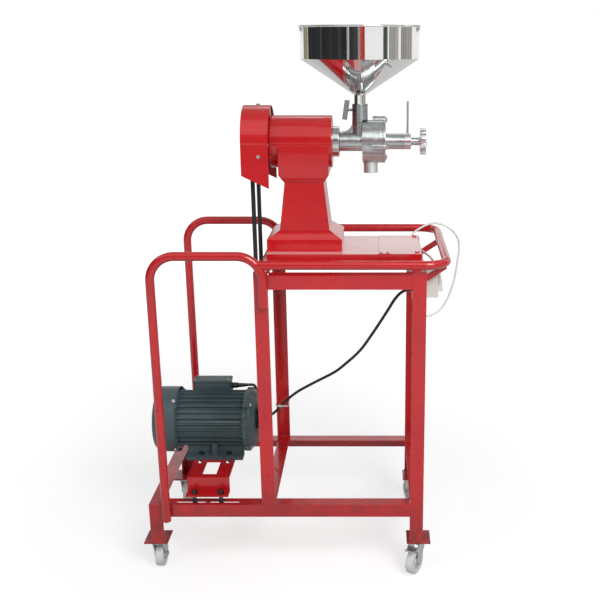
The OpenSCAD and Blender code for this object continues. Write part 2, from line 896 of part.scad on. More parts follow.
// Outlet tube under the chamber, its top shaped to the chamber's wall
module outlet_spout() {
    low = axis_z - spout_drop;
    color(bright)
        difference() {
            zcyl(spout_r, low, axis_z - chamber_r / 2, spout_x);
            zcyl(spout_r - spout_t, low - over, axis_z, spout_x);
            xcyl(chamber_r + 0.2, barrel_x1 - over, cover_x1 + over, 0, axis_z);
        }
}

// Round hopper with a cone, a neck in the throat's socket and a beaded rim
module hopper() {
    lift = hopper_t * 0.5;
    color(bright)
        translate([throat_x, 0, 0]) {
            rotate_extrude($fn = 96)
                polygon([[neck_r, neck_z0], [neck_r, cone_z], [hopper_r, wall_z], [hopper_r, rim_z],
                    [hopper_r - hopper_t, rim_z], [hopper_r - hopper_t, wall_z + lift],
                    [neck_r - hopper_t, cone_z + lift], [neck_r - hopper_t, neck_z0]]);
            translate([0, 0, rim_z])
                rotate_extrude($fn = 96)
                    translate([hopper_r - hopper_t / 2, 0])
                        circle(r = bead_r, $fn = 24);
        }
}

// Screw with a flat thumb plate that holds the hopper's neck in the throat
module clamp_screw() {
    color(steel) {
        xcyl(bolt_r, plate_x, throat_x - neck_r - gap, 0, clamp_z);
        translate([plate_x, 0, clamp_z])
            rotate([0, plate_lean, 0])
                slab([-plate_half, -2, -28], [plate_half, 2, 28]);
    }
}

// Ring nut with its lever rod, locking the screw against the tube's end
module lock_nut() {
    mid = tube_x1 + gap + nut_len / 2;
    color(steel) {
        difference() {
            xcyl(adjust_r, tube_x1 + gap, nut_x1, 0, axis_z);
            xcyl(screw_r + 0.08, tube_x1 - over, nut_x1 + over, 0, axis_z);
        }
        zcyl(lever_r, axis_z + adjust_r - 2, lever_top, mid);
    }
}

module adjusting_screw() {
    color(bright)
        xcyl(screw_r, chamber_x1 - 3 + gap, hand_x0, 0, axis_z);
}

// Hand wheel with eight finger hollows round its rim
module hand_wheel() {
    color(bright) {
        difference() {
            xcyl(hand_r, hand_x0, hand_x0 + hand_t, 0, axis_z);
            for (i = [0 : 7])
                translate([0, (hand_r + 5) * cos(45 * i), (hand_r + 5) * sin(45 * i)])
                    xcyl(9, hand_x0 - over, hand_x0 + hand_t + over, 0, axis_z);
        }
        xcyl(10, hand_x0 + hand_t, hand_x0 + hand_t + 4, 0, axis_z);
    }
}

// Burr that the screw sets, with the stem that the screw pushes
module fixed_burr() {
    face = burr_x0 + burr_t + burr_gap;
    color(steel) {
        xcyl(burr_r, face, face + 10, 0, axis_z);
        xcyl(screw_r - 1.5, face + 10, chamber_x1 - 3, 0, axis_z);
    }
}

module spindle() {
    color(bright) {
        xcyl(spindle_r, belt_x - pulley_w / 2 - 6, flange_x1 + barrel_wall, 0, axis_z);
        xcyl(spindle_r + 4, drum_x0 + bearing_w + 4, drum_x1 - bearing_w - 4, 0, axis_z);
    }
}

// Core with one helical flight, carrying the rotating burr
module feed_auger() {
    core = feed_r - 9;
    start = flange_x1 + barrel_wall;
    flight = barrel_len - barrel_wall - 2;
    color(steel) {
        xcyl(core, start, burr_x0, 0, axis_z);
        translate([start + 1, 0, axis_z])
            rotate([0, 90, 0])
                linear_extrude(flight, twist = -540, slices = 40, $fn = 8)
                    translate([core - 2, -3])
                        square([feed_r - core + 1.2, 6]);
    }
}

// Burr on the auger's end, with four holes that let the beans through
module rotating_burr() {
    color(steel)
        difference() {
            xcyl(burr_r, burr_x0, burr_x0 + burr_t, 0, axis_z);
            for (a = [45 : 90 : 315])
                xcyl(6, burr_x0 - over, burr_x0 + burr_t + over, 26 * cos(a), axis_z + 26 * sin(a));
        }
}

// Pulley with one V-groove that clears the belt all round
module pulley(r, bore, z) {
    half = pulley_w / 2;
    wide = belt_top_w / 2 + 0.35;
    low = belt_low_w / 2 + 0.35;
    floor_r = r - belt_h - 3;
    hub = bore + 10;
    rim = floor_r - 7;
    xturn([[bore, belt_x - half], [hub, belt_x - half], [hub, belt_x - half + 6], [rim, belt_x - half + 6],
        [rim, belt_x - half], [r, belt_x - half], [r, belt_x - wide], [r - belt_h, belt_x - low],
        [floor_r, belt_x - low],
        [floor_r, belt_x + low], [r - belt_h, belt_x + low], [r, belt_x + wide], [r, belt_x + half],
        [rim, belt_x + half],
        [rim, belt_x + half - 6], [hub, belt_x + half - 6], [hub, belt_x + half],
        [bore, belt_x + half]], z);
}

module mill_pulley() {
    color(slate)
        pulley(mill_belt_r, spindle_r + 0.02, axis_z);
}
module motor_pulley() {
    color(slate)
        pulley(motor_belt_r, shaft_r + 0.02, motor_z);
}

// Belt section at a pulley of radius r, as [radius, x]
function belt_section(r) = [[r, -belt_top_w / 2], [r, belt_top_w / 2],
    [r - belt_h, belt_low_w / 2], [r - belt_h, -belt_low_w / 2]];

// Belt stations: arcs round the two pulleys, as [angle, radius, height], joined by straight runs
belt_steps = 30;
belt_stations = concat(
    [for (i = [0 : belt_steps]) [-belt_lean + (180 + 2 * belt_lean) * i / belt_steps, mill_belt_r, axis_z]],
    [for (i = [0 : belt_steps]) [180 + belt_lean + (180 - 2 * belt_lean) * i / belt_steps,
    motor_belt_r, motor_z]]);

// V-belt swept round its closed path
module v_belt() {
    rings = len(belt_stations);
    points = [for (st = belt_stations, q = belt_section(st[1]))
        [belt_x + q.y, q.x * cos(st[0]), st[2] + q.x * sin(st[0])]];
    walls = [for (i = [0 : rings - 1], k = [0 : 3])
        let(j = (i + 1) % rings)
        [i * 4 + k, i * 4 + (k + 1) % 4, j * 4 + (k + 1) % 4, j * 4 + k]];
    color(black)
        polyhedron(points, walls);
}

// Half-round sheet guard over the mill's pulley, its left end closed
module belt_guard() {
    low = axis_z - guard_drop;
    in_r = guard_r - guard_t;
    color(frame_red)
        difference() {
            union() {
                intersection() {
                    xcyl(guard_r, guard_x0, guard_x1, 0, axis_z);
                    slab([guard_x0 - over, -guard_r - over, axis_z],
                        [guard_x1 + over, guard_r + over, axis_z + guard_r + over]);
                }
                slab([guard_x0, -guard_r, low], [guard_x1, guard_r, axis_z]);
                slab([guard_x0, -guard_r, axis_z - skirt_left], [guard_x0 + guard_t, guard_r, axis_z]);
            }
            xcyl(in_r, guard_x0 + guard_t, guard_x1 + over, 0, axis_z);
            slab([guard_x0 + guard_t, -in_r, low - over], [guard_x1 + over, in_r, axis_z]);
            guard_screw_holes();
        }
}

// Holes of the guard's crown bolt and skirt screws
module guard_screw_holes() {
    zcyl(3.2, axis_z + guard_r - 12, axis_z + guard_r + over, drum_x0 - 34);
    ycyl(2.7, -guard_r - 5, guard_r + 5, guard_x1 - 28, axis_z - guard_drop + skirt_lap / 2);
}

// Lapped lower plates at the guard's front and rear, cut on a slant below
module guard_skirts() {
    top = axis_z - guard_drop + skirt_lap;
    color(frame_red)
        difference() {
            for (y = [-guard_r, guard_r + guard_t])
                translate([0, y, 0])
                    rotate([90, 0, 0])
                        linear_extrude(guard_t)
                            polygon([[guard_x0, top], [guard_x1, top], [guard_x1, axis_z - skirt_right],
                                [guard_x0, axis_z - skirt_left]]);
            guard_screw_holes();
        }
}

// Bent strip from the drum's end face to the guard's crown
module guard_bracket() {
    top = axis_z + guard_r - guard_t - 0.6;
    color(frame_red)
        difference() {
            union() {
                slab([drum_x0 - tab_t, -tab_w / 2, axis_z + bearing_r + 6], [drum_x0, tab_w / 2, top]);
                slab([drum_x0 - 50, -tab_w / 2, top - tab_t], [drum_x0, tab_w / 2, top]);
            }
            guard_screw_holes();
        }
}

// Finned motor frame with its stator, feet, and the seats of the cover and box
module motor_frame() {
    color(slate)
        difference() {
            union() {
                xcyl(shell_r, frame_x0, frame_x1, 0, motor_z);
                for (x = [frame_x0, frame_x1 - 14])
                    xcyl(fin_r, x, x + 14, 0, motor_z);
                for (a = [-36 : fin_step : 216])
                    if (a != fin_missing)
                        translate([0, 0, motor_z])
                            rotate([a, 0, 0])
                                slab([frame_x0 + 12, shell_r - 2, -1.5], [frame_x1 - 12, fin_r - 1, 1.5]);
                for (a = [45 : 90 : 315])
                    translate([0, 0, motor_z])
                        rotate([a, 0, 0])
                            slab([frame_x0, shell_r, -6], [frame_x0 + 14, fan_cover_r - guard_t - 0.6, 6]);
                for (s = [-1, 1])
                    slab([motor_cx - foot_l, s * foot_in, bracket_z],
                        [motor_cx + foot_l, s * foot_out, bracket_z + foot_t]);
                for (s = [-1, 1])
                    slab([motor_cx - foot_l, s * foot_in, bracket_z],
                        [motor_cx + foot_l, s * (foot_in + foot_wall), motor_z - 55]);
                slab([motor_cx - foot_wall, -82, bracket_z], [motor_cx + foot_wall, 82, motor_z - 50]);
                slab([tbox_x - tbox_pad, tbox_y - 22, motor_z + 50],
                    [tbox_x + tbox_pad, tbox_y + 22, tbox_z]);
                translate([tbox_x, tbox_y, tbox_z - 6])
                    linear_extrude(6)
                        round_rect(tbox_w + 2 * tbox_lip, tbox_d + 2 * tbox_lip, 10);
            }
            xcyl(shaft_r + run, frame_x0 - over, frame_x1, 0, motor_z);
            xcyl(stator_r, frame_x0 + 12, frame_x1 + over, 0, motor_z);
            foot_bolt_places()
                zcyl(stud_r, bracket_z - over, bracket_z + foot_t + over);
        }
}

module foot_bolt_places() {
    for (i = [-1, 1], j = [-1, 1])
        translate([motor_cx + i * foot_bolt_x, j * foot_bolt_y, 0])
            children();
}
module stud_places() {
    for (i = [-1, 1], j = [-1, 1])
        translate([motor_cx + i * bracket_bolt_x, j * bolt_y, 0])
            children();
}

module motor_end_shield() {
    color(slate)
        xturn([[shaft_r + run, frame_x1], [fin_r + 2, frame_x1], [fin_r + 2, frame_x1 + 8],
            [fin_r - 14, motor_x1 - 5],
            [32, motor_x1 - 5], [30, motor_x1], [shaft_r + run, motor_x1]], motor_z);
}

// Sheet cover over the fan, with radial slots in its end
module motor_fan_cover() {
    in_r = fan_cover_r - guard_t;
    edge = frame_x0 + 10;
    color(slate)
        difference() {
            xturn([[0, fan_x0], [fan_cover_r - 12, fan_x0], [fan_cover_r, fan_x0 + 12],
                [fan_cover_r, edge], [in_r, edge],
                [in_r, fan_x0 + 12], [fan_cover_r - 13, fan_x0 + guard_t], [0, fan_x0 + guard_t]], motor_z);
            for (a = [0 : 30 : 330])
                translate([0, 0, motor_z])
                    rotate([a, 0, 0])
                        slab([fan_x0 - over, fan_slot_in, -3], [fan_x0 + guard_t + over, fan_slot_out, 3]);
        }
}

// Shaft with the rotor core and the fan
module motor_rotor() {
    fan_x = fan_x0 + fan_gap;
    color(steel) {
        xcyl(shaft_r, fan_x - 4, belt_x + pulley_w / 2 + 3, 0, motor_z);
        xcyl(stator_r - 0.5, frame_x0 + rotor_in, frame_x1 - rotor_in, 0, motor_z);
        xcyl(fan_hub_r, fan_x, fan_x + fan_len, 0, motor_z);
        for (a = [0 : 45 : 315])
            translate([0, 0, motor_z])
                rotate([a, 0, 0])
                    slab([fan_x, fan_root_r, -2], [fan_x + fan_len, fan_tip_r, 2]);
    }
}

// Rectangle with round corners
module round_rect(w, d, r) {
    square([w - 2 * r, d], center = true);
    square([w, d - 2 * r], center = true);
    for (i = [-1, 1], j = [-1, 1])
        translate([i * (w / 2 - r), j * (d / 2 - r)])
            circle(r = r);
}

module terminal_box() {
    color(slate)
        translate([tbox_x, tbox_y, tbox_z])
            difference() {
                linear_extrude(tbox_h)
                    round_rect(tbox_w, tbox_d, 10);
                translate([0, 0, -over])
                    linear_extrude(tbox_h - 3 + over)
                        round_rect(tbox_w - 6, tbox_d - 6, 7);
            }
}

// Hat-section bracket across the base rails, with windows and foot slots
module motor_bracket() {
    half = bracket_w / 2;
    low = bracket_flange_z;
    lip = yf - 4;
    color(frame_red)
        difference() {
            union() {
                slab([motor_cx - half, -bracket_y, bracket_z - bracket_t],
                    [motor_cx + half, bracket_y, bracket_z]);
                for (s = [-1, 1]) {
                    slab([motor_cx - half, s * (bracket_y - bracket_t), low],
                        [motor_cx + half, s * bracket_y, bracket_z]);
                    slab([motor_cx - half, s * (bracket_y - bracket_t), low],
                        [motor_cx + half, s * lip, low + bracket_t]);
                }
            }
            for (s = [-1, 1]) {
                slab([motor_cx - 21, s * 100, bracket_z - bracket_t - over],
                    [motor_cx + 21, s * (bracket_y - 22), bracket_z + over]);
                for (i = [-1, 1])
                    y_slot(motor_cx + i * foot_bolt_x, s * (foot_bolt_y + 12), 56, slot_w,
                        bracket_z - bracket_t - over, bracket_z + over);
            }
            stud_places()
                zcyl(stud_r + gap, low - over, low + bracket_t + over);
        }
}

// Foot bolts of the motor and the studs that set the bracket's height
module motor_bolts() {
    flange = bracket_flange_z;
    color(zinc) {
        foot_bolt_places() {
            zcyl(stud_r - 0.6, bracket_z - bracket_t - 12, bracket_z + 18);
            hex(15, bracket_z + 12, bracket_z + 18);
            hex(15, bracket_z - bracket_t - 8, bracket_z - bracket_t);
        }
        stud_places() {
            zcyl(stud_r, base_z - angle_t - 8, flange + bracket_t + 14);
            hex(16, base_z - angle_t - 8, base_z - angle_t);
            hex(16, base_z, base_z + 7);
            hex(16, flange - 7, flange);
            hex(16, flange + bracket_t, flange + bracket_t + 8);
        }
    }
}

// Hollow switch box with holes for its two buttons and the motor lead
module switch_box() {
    t = switch_t;
    color([0.62, 0.6, 0.55])
        difference() {
            slab([x1, switch_y0, switch_z0], [switch_x1, switch_y1, switch_z1]);
            slab([x1 + t, switch_y0 + t, switch_z0 + t], [switch_x1 - t, switch_y1 - t, switch_z1 - t]);
            for (y = button_ys)
                xcyl(button_r + gap, switch_x1 - t - over, switch_x1 + over, y, button_z);
            xcyl(lead_d / 2 - 1, x1 - over, x1 + t + over, lead_in.y, lead_in.z);
        }
}

// Push button with a flange that keeps it in the box
module button(y) {
    inner = switch_x1 - switch_t - gap;
    xcyl(button_r, inner - 6, switch_x1 + button_out, y, button_z);
    xcyl(button_r + 2, inner - 6, inner, y, button_z);
}
module start_button() {
    color([0.1, 0.5, 0.2])
        button(button_ys[1]);
}
module stop_button() {
    color([0.75, 0.08, 0.06])
        button(button_ys[0]);
}

// Elbow gland of the power cord and the two glands of the motor lead
module cord_glands() {
    color(black) {
        slab([switch_x1, gland_y - 8, gland_z - 24], [switch_x1 + 15, gland_y + 8, gland_z - 6]);
        zcyl(7, gland_z - 6, gland_z, gland_x, gland_y);
        xcyl(9, lead_in.x, x1, lead_in.y, lead_in.z);
        xcyl(9, lead_out.x - 18, lead_out.x, lead_out.y, lead_out.z);
    }
}

// Unit tangents along a line of points
function unit(v) = v / norm(v);
function tangents(p) = [for (i = [0 : len(p) - 1]) unit(p[min(i + 1, len(p) - 1)] - p[max(i - 1, 0)])];

// A side direction carried along the tangents without twist
function square_to(n, t) = unit(n - (n * t) * t);
function sides_of(t, n) = [for (i = 0, m = square_to(n, t[0]); i < len(t); i = i + 1,
    m = square_to(m, t[min(i, len(t) - 1)])) m];

// Smooth curve through points, with extra points in each span
function curve_at(a, b, c, d, t) = 0.5 * (2 * b + (c - a) * t + (2 * a - 5 * b + 4 * c - d) * t * t
    + (3 * b - a - 3 * c + d) * t * t * t);
function smooth(p, steps) = concat([for (i = [0 : len(p) - 2], j = [0 : steps - 1])
    curve_at(p[max(i - 1, 0)], p[i], p[i + 1], p[min(i + 2, len(p) - 1)], j / steps)], [p[len(p) - 1]]);

// The route moved with the pieces at its two ends
function moved(p, a, b) = [for (i = [0 : len(p) - 1])
    p[i] + (a - p[0]) * (1 - i / (len(p) - 1)) + (b - p[len(p) - 1]) * i / (len(p) - 1)];

// A round tube swept along points
module cord(p, r, around, side) {
    t = tangents(p);
    n = sides_of(t, side);
    rings = len(p);
    points = [for (i = [0 : rings - 1], k = [0 : around - 1])
        p[i] + r * (cos(360 * k / around) * n[i] + sin(360 * k / around) * cross(t[i], n[i]))];
    walls = [for (i = [0 : rings - 2], k = [0 : around - 1])
        [(i + 1) * around + k, (i + 1) * around + (k + 1) % around, i * around + (k + 1) % around,
        i * around + k]];
    first = [for (k = [0 : around - 1]) k];
    last = [for (k = [0 : around - 1]) rings * around - 1 - k];
    polyhedron(points, concat([first], walls, [last]));
}

// Coil: in on one layer, across where the spiral turns back, out on the other
function coil_step(u) = u < 0 ? 0 : u > 1 ? 1 : u * u * (3 - 2 * u);
function coil_point(u) = let(
        mid = coil_turns / 2,
        r = coil_r - coil_pitch * (mid - abs(u - mid)),
        climb = coil_step((u - mid + 0.25) / 0.5) - 0.5)
    [coil_x + climb * coil_pitch, coil_y + r * cos(360 * u - 90), coil_z + r * sin(360 * u - 90)];
coil_start = coil_point(0) - [0, cord_d, 0];
coil_line = concat([coil_start], [for (i = [0 : 24 * coil_turns]) coil_point(i / 24)]);

// Tail from the coil's top, forward and down to the plug
coil_end = coil_point(coil_turns);
tail = [
    coil_end + [0, -10, 0], coil_end + [0, -26, -2], coil_end + [0, -42, -10],
        [coil_end.x, plug_y + 3, plug_z + 26],
    [coil_end.x, plug_y, plug_z + 8], [coil_end.x, plug_y, plug_z]
];

// Least gap of the coil to itself, between points more than half a turn apart
coil_gap = min([for (i = [0 : len(coil_line) - 14], j = [i + 13 : len(coil_line) - 1])
    norm(coil_line[i] - coil_line[j])]) - cord_d;
echo(coil_gap = coil_gap);

module power_cord() {
    color([0.92, 0.91, 0.88])
        cord(smooth(moved(cord_route, [gland_x, gland_y, gland_z], coil_start), 2), cord_d / 2, 8, [1,
            0, 0]);
}
module cord_coil() {
    color([0.92, 0.91, 0.88])
        cord(concat(coil_line, smooth(tail, 2)), cord_d / 2, 6, [1, 0, 0]);
}
module motor_lead() {
    color(black)
        cord(smooth(moved(lead_route, lead_out, lead_in), 2), lead_d / 2, 8, [0, 0, 1]);
}

// Two-pin plug hanging at the cord's end
module cord_plug() {
    color([0.92, 0.91, 0.88])
        translate([coil_end.x, plug_y, 0]) {
            zcyl(cord_d / 2 + 2.5, plug_z - 16, plug_z);
            zcyl(14, plug_z - 48, plug_z - 16);
            for (s = [-1, 1])
                zcyl(2.4, plug_z - 67, plug_z - 48, 0, s * 9.5);
        }
}

// Flat band round a box of space, level at z
module tie(xa, xb, ya, yb, z) {
    band = 1.2;
    translate([0, 0, z])
        linear_extrude(4.5)
            difference() {
                translate([xa - band, ya - band])
                    square([xb - xa + 2 * band, yb - ya + 2 * band]);
                translate([xa, ya])
                    square([xb - xa, yb - ya]);
            }
}

// Ties of the motor lead on the rear left leg and of the coil on the rear right leg
module cable_ties() {
    inside = coil_y + coil_r - coil_pitch * coil_turns / 2 - cord_d / 2 - 2;
    color([0.92, 0.92, 0.9]) {
        tie(xt - 0.3, xt + angle_w + 0.3, yf - angle_w - lead_d - 5, yf + 0.3, base_z + tie_rise);
        tie(x1 - angle_w - 0.3, x1 + 0.3, inside, yf + 0.3, coil_z - 2);
    }
}

module front_left_fork() {
    at_caster(front_left)
        fork(false);
}
module front_left_wheel() {
    at_caster(front_left)
        wheel();
}

module rear_left_fork() {
    at_caster(rear_left)
        fork(false);
}
module rear_left_wheel() {
    at_caster(rear_left)
        wheel();
}

module front_right_fork() {
    at_caster(front_right)
        fork(true);
}
module front_right_wheel() {
    at_caster(front_right)
        wheel();
}
module front_right_brake() {
    at_caster(front_right)
        brake_pedal();
}

module rear_right_fork() {
    at_caster(rear_right)
        fork(true);
}
module rear_right_wheel() {
    at_caster(rear_right)
        wheel();
}
module rear_right_brake() {
    at_caster(rear_right)
        brake_pedal();
}

base_rails();
frame_posts();
table_rails();
push_handles();
table_loop();
loop_braces();
caster_pads();
caster_plates();
table_box();
table_bolts();
pedestal();
bearing_housing();
spindle_bearings();
barrel_flange();
mill_barrel();
grinding_chamber();
chamber_cover();
mill_bolts();
outlet_spout();
hopper();
clamp_screw();
lock_nut();
adjusting_screw();
hand_wheel();
fixed_burr();
spindle();
feed_auger();
rotating_burr();
mill_pulley();
v_belt();
belt_guard();
guard_skirts();
guard_bracket();
motor_frame();
motor_end_shield();
motor_fan_cover();
motor_rotor();
motor_pulley();
terminal_box();
motor_bracket();
motor_bolts();
switch_box();
start_button();
stop_button();
cord_glands();
power_cord();
cord_coil();
cord_plug();
motor_lead();
cable_ties();
front_left_fork();
front_left_wheel();
rear_left_fork();
rear_left_wheel();
front_right_fork();
front_right_wheel();
front_right_brake();
rear_right_fork();
rear_right_wheel();
rear_right_brake();
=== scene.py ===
"""Coffee mill on a red trolley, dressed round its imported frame: metres, +Z up, the front to -Y."""
import math

import bmesh
import bpy
from mathutils import Matrix, Vector


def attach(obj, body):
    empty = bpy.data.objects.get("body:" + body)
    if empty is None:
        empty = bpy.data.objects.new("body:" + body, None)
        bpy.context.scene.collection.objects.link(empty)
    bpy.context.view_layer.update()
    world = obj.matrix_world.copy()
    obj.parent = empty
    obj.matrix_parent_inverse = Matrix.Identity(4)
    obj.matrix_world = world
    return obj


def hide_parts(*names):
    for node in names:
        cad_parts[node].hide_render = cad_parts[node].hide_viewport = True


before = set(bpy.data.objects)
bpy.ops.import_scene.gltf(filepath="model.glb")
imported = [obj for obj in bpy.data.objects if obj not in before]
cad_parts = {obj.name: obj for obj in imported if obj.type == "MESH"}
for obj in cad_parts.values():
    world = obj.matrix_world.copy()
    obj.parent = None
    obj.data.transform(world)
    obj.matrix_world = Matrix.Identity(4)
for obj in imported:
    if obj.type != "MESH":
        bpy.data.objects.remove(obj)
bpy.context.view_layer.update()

# Studio: the camera stands where the photograph was taken, pitched down, its picture shifted left.
# A pale floor runs into a world that is white to the camera, and three soft lamps light it.
# A dark curtain and coloured screens, seen only in reflections, give the bright metal its bands.
scene = bpy.context.scene
scene.view_settings.view_transform = "Standard"
eye = bpy.data.cameras.new("photo_view")
eye.sensor_width = 36
eye.lens = 53.9
eye.shift_x = -0.1263
eye.clip_end = 200
camera = bpy.data.objects.new("photo_view", eye)
camera.location = (0.2447, -2.641, 1.5647)
pitch_down = 16.1
camera.rotation_euler = (math.radians(90 - pitch_down), 0, 0)
scene.collection.objects.link(camera)
scene.camera = camera


def put(tree, kind, inputs=None, **settings):
    """One node with its settings, and its inputs given as values or as sockets to link."""
    made = tree.nodes.new(kind)
    for name, value in settings.items():
        setattr(made, name, value)
    for key, value in (inputs or {}).items():
        if isinstance(value, bpy.types.NodeSocket):
            tree.links.new(value, made.inputs[key])
        else:
            made.inputs[key].default_value = value
    return made


def sums(tree, operation, a, b):
    """One sum of two values or sockets."""
    return put(tree, "ShaderNodeMath", {0: a, 1: b}, operation=operation).outputs[0]


def seen_directly(tree, mirrored=1.0):
    """1 for the camera's own rays and clear pieces, and a share for what mirrors show."""
    rays = put(tree, "ShaderNodeLightPath").outputs
    in_mirrors = sums(tree, "MULTIPLY", rays["Is Glossy Ray"], mirrored)
    shown = sums(tree, "MAXIMUM", rays["Is Camera Ray"], in_mirrors)
    return sums(tree, "MAXIMUM", shown, rays["Is Transmission Ray"])


room_light = 0.34
world = bpy.data.worlds.new("white_room")
scene.world = world
world.use_nodes = True
room = world.node_tree
room.nodes.clear()
level = put(room, "ShaderNodeMix", {0: seen_directly(room), 2: room_light, 3: 1.0})
sky = put(room, "ShaderNodeBackground", {"Color": (1, 1, 1, 1), "Strength": level.outputs[0]})
put(room, "ShaderNodeOutputWorld", {"Surface": sky.outputs[0]})


def lamp(name, place, aim, size, power):
    """A soft round lamp, aimed at a point."""
    light = bpy.data.lights.new(name, "AREA")
    light.shape = "DISK"
    light.size = size
    light.energy = power
    made = bpy.data.objects.new(name, light)
    made.location = place
    made.rotation_euler = (Vector(aim) - Vector(place)).to_track_quat("-Z", "Y").to_euler()
    scene.collection.objects.link(made)
    return made


lamp("key_lamp", (1.6, -2.9, 3.2), (0, 0, 0.9), 2.0, 95)
lamp("fill_lamp", (-2.4, -2.6, 2.2), (0.1, 0, 0.9), 2.2, 26).visible_glossy = False
lamp("back_lamp", (0.6, 2.8, 3.2), (0, 0, 1.1), 2.4, 13)


def stage_sheet(name, low_row, high_row, coat):
    """A sheet between two rows of points, for the stage only."""
    count = len(low_row)
    mesh = bpy.data.meshes.new(name)
    faces = [(i, i + 1, count + i + 1, count + i) for i in range(count - 1)]
    mesh.from_pydata(low_row + high_row, [], faces)
    mesh.materials.append(coat)
    made = bpy.data.objects.new(name, mesh)
    scene.collection.objects.link(made)
    return made


def noise(tree, where, scale, detail=2.0, rough=0.5):
    """Soft cloudy noise from 0 to 1."""
    return put(tree, "ShaderNodeTexNoise", {"Vector": where, "Scale": scale, "Detail": detail,
                                            "Roughness": rough}).outputs["Fac"]


def ramp(tree, value, low, high, to_low=0.0, to_high=1.0):
    """A value between two limits, spread over two others."""
    return put(tree, "ShaderNodeMapRange", {"Value": value, "From Min": low, "From Max": high,
                                            "To Min": to_low,
                                            "To Max": to_high}).outputs["Result"]


def glowing(name, colour, base, near, far=None, streaks=0.0, mirrored=1.0):
    """A matt stage sheet that glows where it is seen, from near to far, with upright streaks."""
    made = bpy.data.materials.new(name)
    made.use_nodes = True
    tree = made.node_tree
    tree.nodes.clear()
    strength = near
    spot = put(tree, "ShaderNodeTexCoord").outputs["Object"]
    if far is not None:
        away = put(tree, "ShaderNodeVectorMath", {0: spot}, operation="LENGTH").outputs["Value"]
        glow_from, glow_to = 0.8, 3.5
        strength = ramp(tree, away, glow_from, glow_to, near, far)
    if streaks:
        upright = put(tree, "ShaderNodeVectorMath", {0: spot, 1: (1, 1, 0.04)},
                      operation="MULTIPLY").outputs[0]
        cloth = noise(tree, upright, 3.4, 4.0)
        strength = ramp(tree, cloth, 0.34, 0.66, near * (1 - streaks), near * (1 + streaks))
    amount = sums(tree, "MULTIPLY", seen_directly(tree, mirrored), strength)
    matt = put(tree, "ShaderNodeBsdfDiffuse", {"Color": (base, base, base, 1)})
    glow = put(tree, "ShaderNodeEmission", {"Color": (*colour, 1), "Strength": amount})
    both = put(tree, "ShaderNodeAddShader", {0: matt.outputs[0], 1: glow.outputs[0]})
    put(tree, "ShaderNodeOutputMaterial", {"Surface": both.outputs[0]})
    return made


reach = 40
floor_base, glow_near, glow_far, glow_mirrored = 0.55, 0.60, 0.94, 0.42
stage_sheet("floor", [(-reach, -reach, 0), (reach, -reach, 0)],
            [(-reach, reach, 0), (reach, reach, 0)],
            glowing("pale_floor", (1, 1, 1), floor_base, glow_near, glow_far,
                    mirrored=glow_mirrored))


dark_base = 0.03


def only_in_reflections(made):
    """Hides a stage sheet from all but mirror rays."""
    for ray in ("camera", "diffuse", "transmission", "shadow"):
        setattr(made, "visible_" + ray, False)


def screen(name, turn_from, turn_to, colour, strength, away=4.2, low=0.5, high=3.4):
    """An upright cloth round the hopper; angles start at the camera, positive to its right."""
    hopper_x, steps = 0.2, 16
    turns = [math.radians(turn_from + (turn_to - turn_from) * i / steps) for i in range(steps + 1)]
    ring = [(hopper_x + away * math.sin(a), -away * math.cos(a)) for a in turns]
    cloth = glowing(name + "_cloth", colour, dark_base, strength, streaks=0.45)
    only_in_reflections(stage_sheet(name, [(x, y, low) for x, y in ring],
                                    [(x, y, high) for x, y in ring], cloth))


screen("tan_screen", -131, -113, (0.9, 0.85, 0.55), 0.30)
screen("dark_curtain_left", -112, -22, (0.85, 1, 0.95), 0.016)
screen("dark_curtain_fold", -21.2, -19.4, (1, 1, 1), 0.22)
streaks_seen = [(-76.4, -75.2, 0.09), (-54.6, -53.4, 0.07), (-41, -33, 0.03)]
for fold, (turn_from, turn_to, strength) in enumerate(streaks_seen):
    screen("curtain_streak_%d" % fold, turn_from, turn_to, (0.9, 1, 0.97), strength, away=4.1)
screen("dark_curtain_right", -18.5, -2, (0.9, 1, 0.97), 0.035)
screen("curtain_edge", -1.8, 1.3, (1, 0.97, 0.92), 0.30)
screen("red_screen", 1.5, 10.5, (0.9, 0.08, 0.07), 0.55)
screen("grey_screen_near", 45, 54, (0.6, 0.75, 0.6), 0.14)
screen("grey_screen_middle", 57, 78, (1, 0.98, 0.9), 0.36)
screen("grey_screen_far", 84, 117, (1, 0.94, 0.86), 0.32)
screen("throat_light", -46, 14, (1, 1, 1), 0.85, away=4.0, low=0.95, high=1.28)
card_back, card_low, card_high = 2.6, 1.62, 3.2
top_far, top_near, top_rise = 1.65, -0.6, 3.4
card_grey = glowing("grey_card", (1, 0.99, 0.97), dark_base, 0.36)
card_ends = [(-2.4, card_back), (2.8, card_back)]
only_in_reflections(stage_sheet("back_card", [(x, y, card_low) for x, y in card_ends],
                                [(x, y, card_high) for x, y in card_ends], card_grey))
only_in_reflections(stage_sheet("top_card", [(x, top_far, top_rise) for x, _ in card_ends],
                                [(x, top_near, top_rise) for x, _ in card_ends], card_grey))


# Base, legs and table rails: 40 mm angle iron, cut to fit and welded, with a pad under each leg.
# All is sprayed in gloss red enamel over primer, with a fine orange peel and small chips.
def shader_group(name, inputs, outputs):
    """A shader node group with named inputs and plain values out."""
    group = bpy.data.node_groups.new(name, "ShaderNodeTree")
    for label, kind, value in inputs:
        group.interface.new_socket(label, in_out="INPUT", socket_type=kind).default_value = value
    for label in outputs:
        group.interface.new_socket(label, in_out="OUTPUT", socket_type="NodeSocketFloat")
    return group, put(group, "NodeGroupInput").outputs, put(group, "NodeGroupOutput").inputs


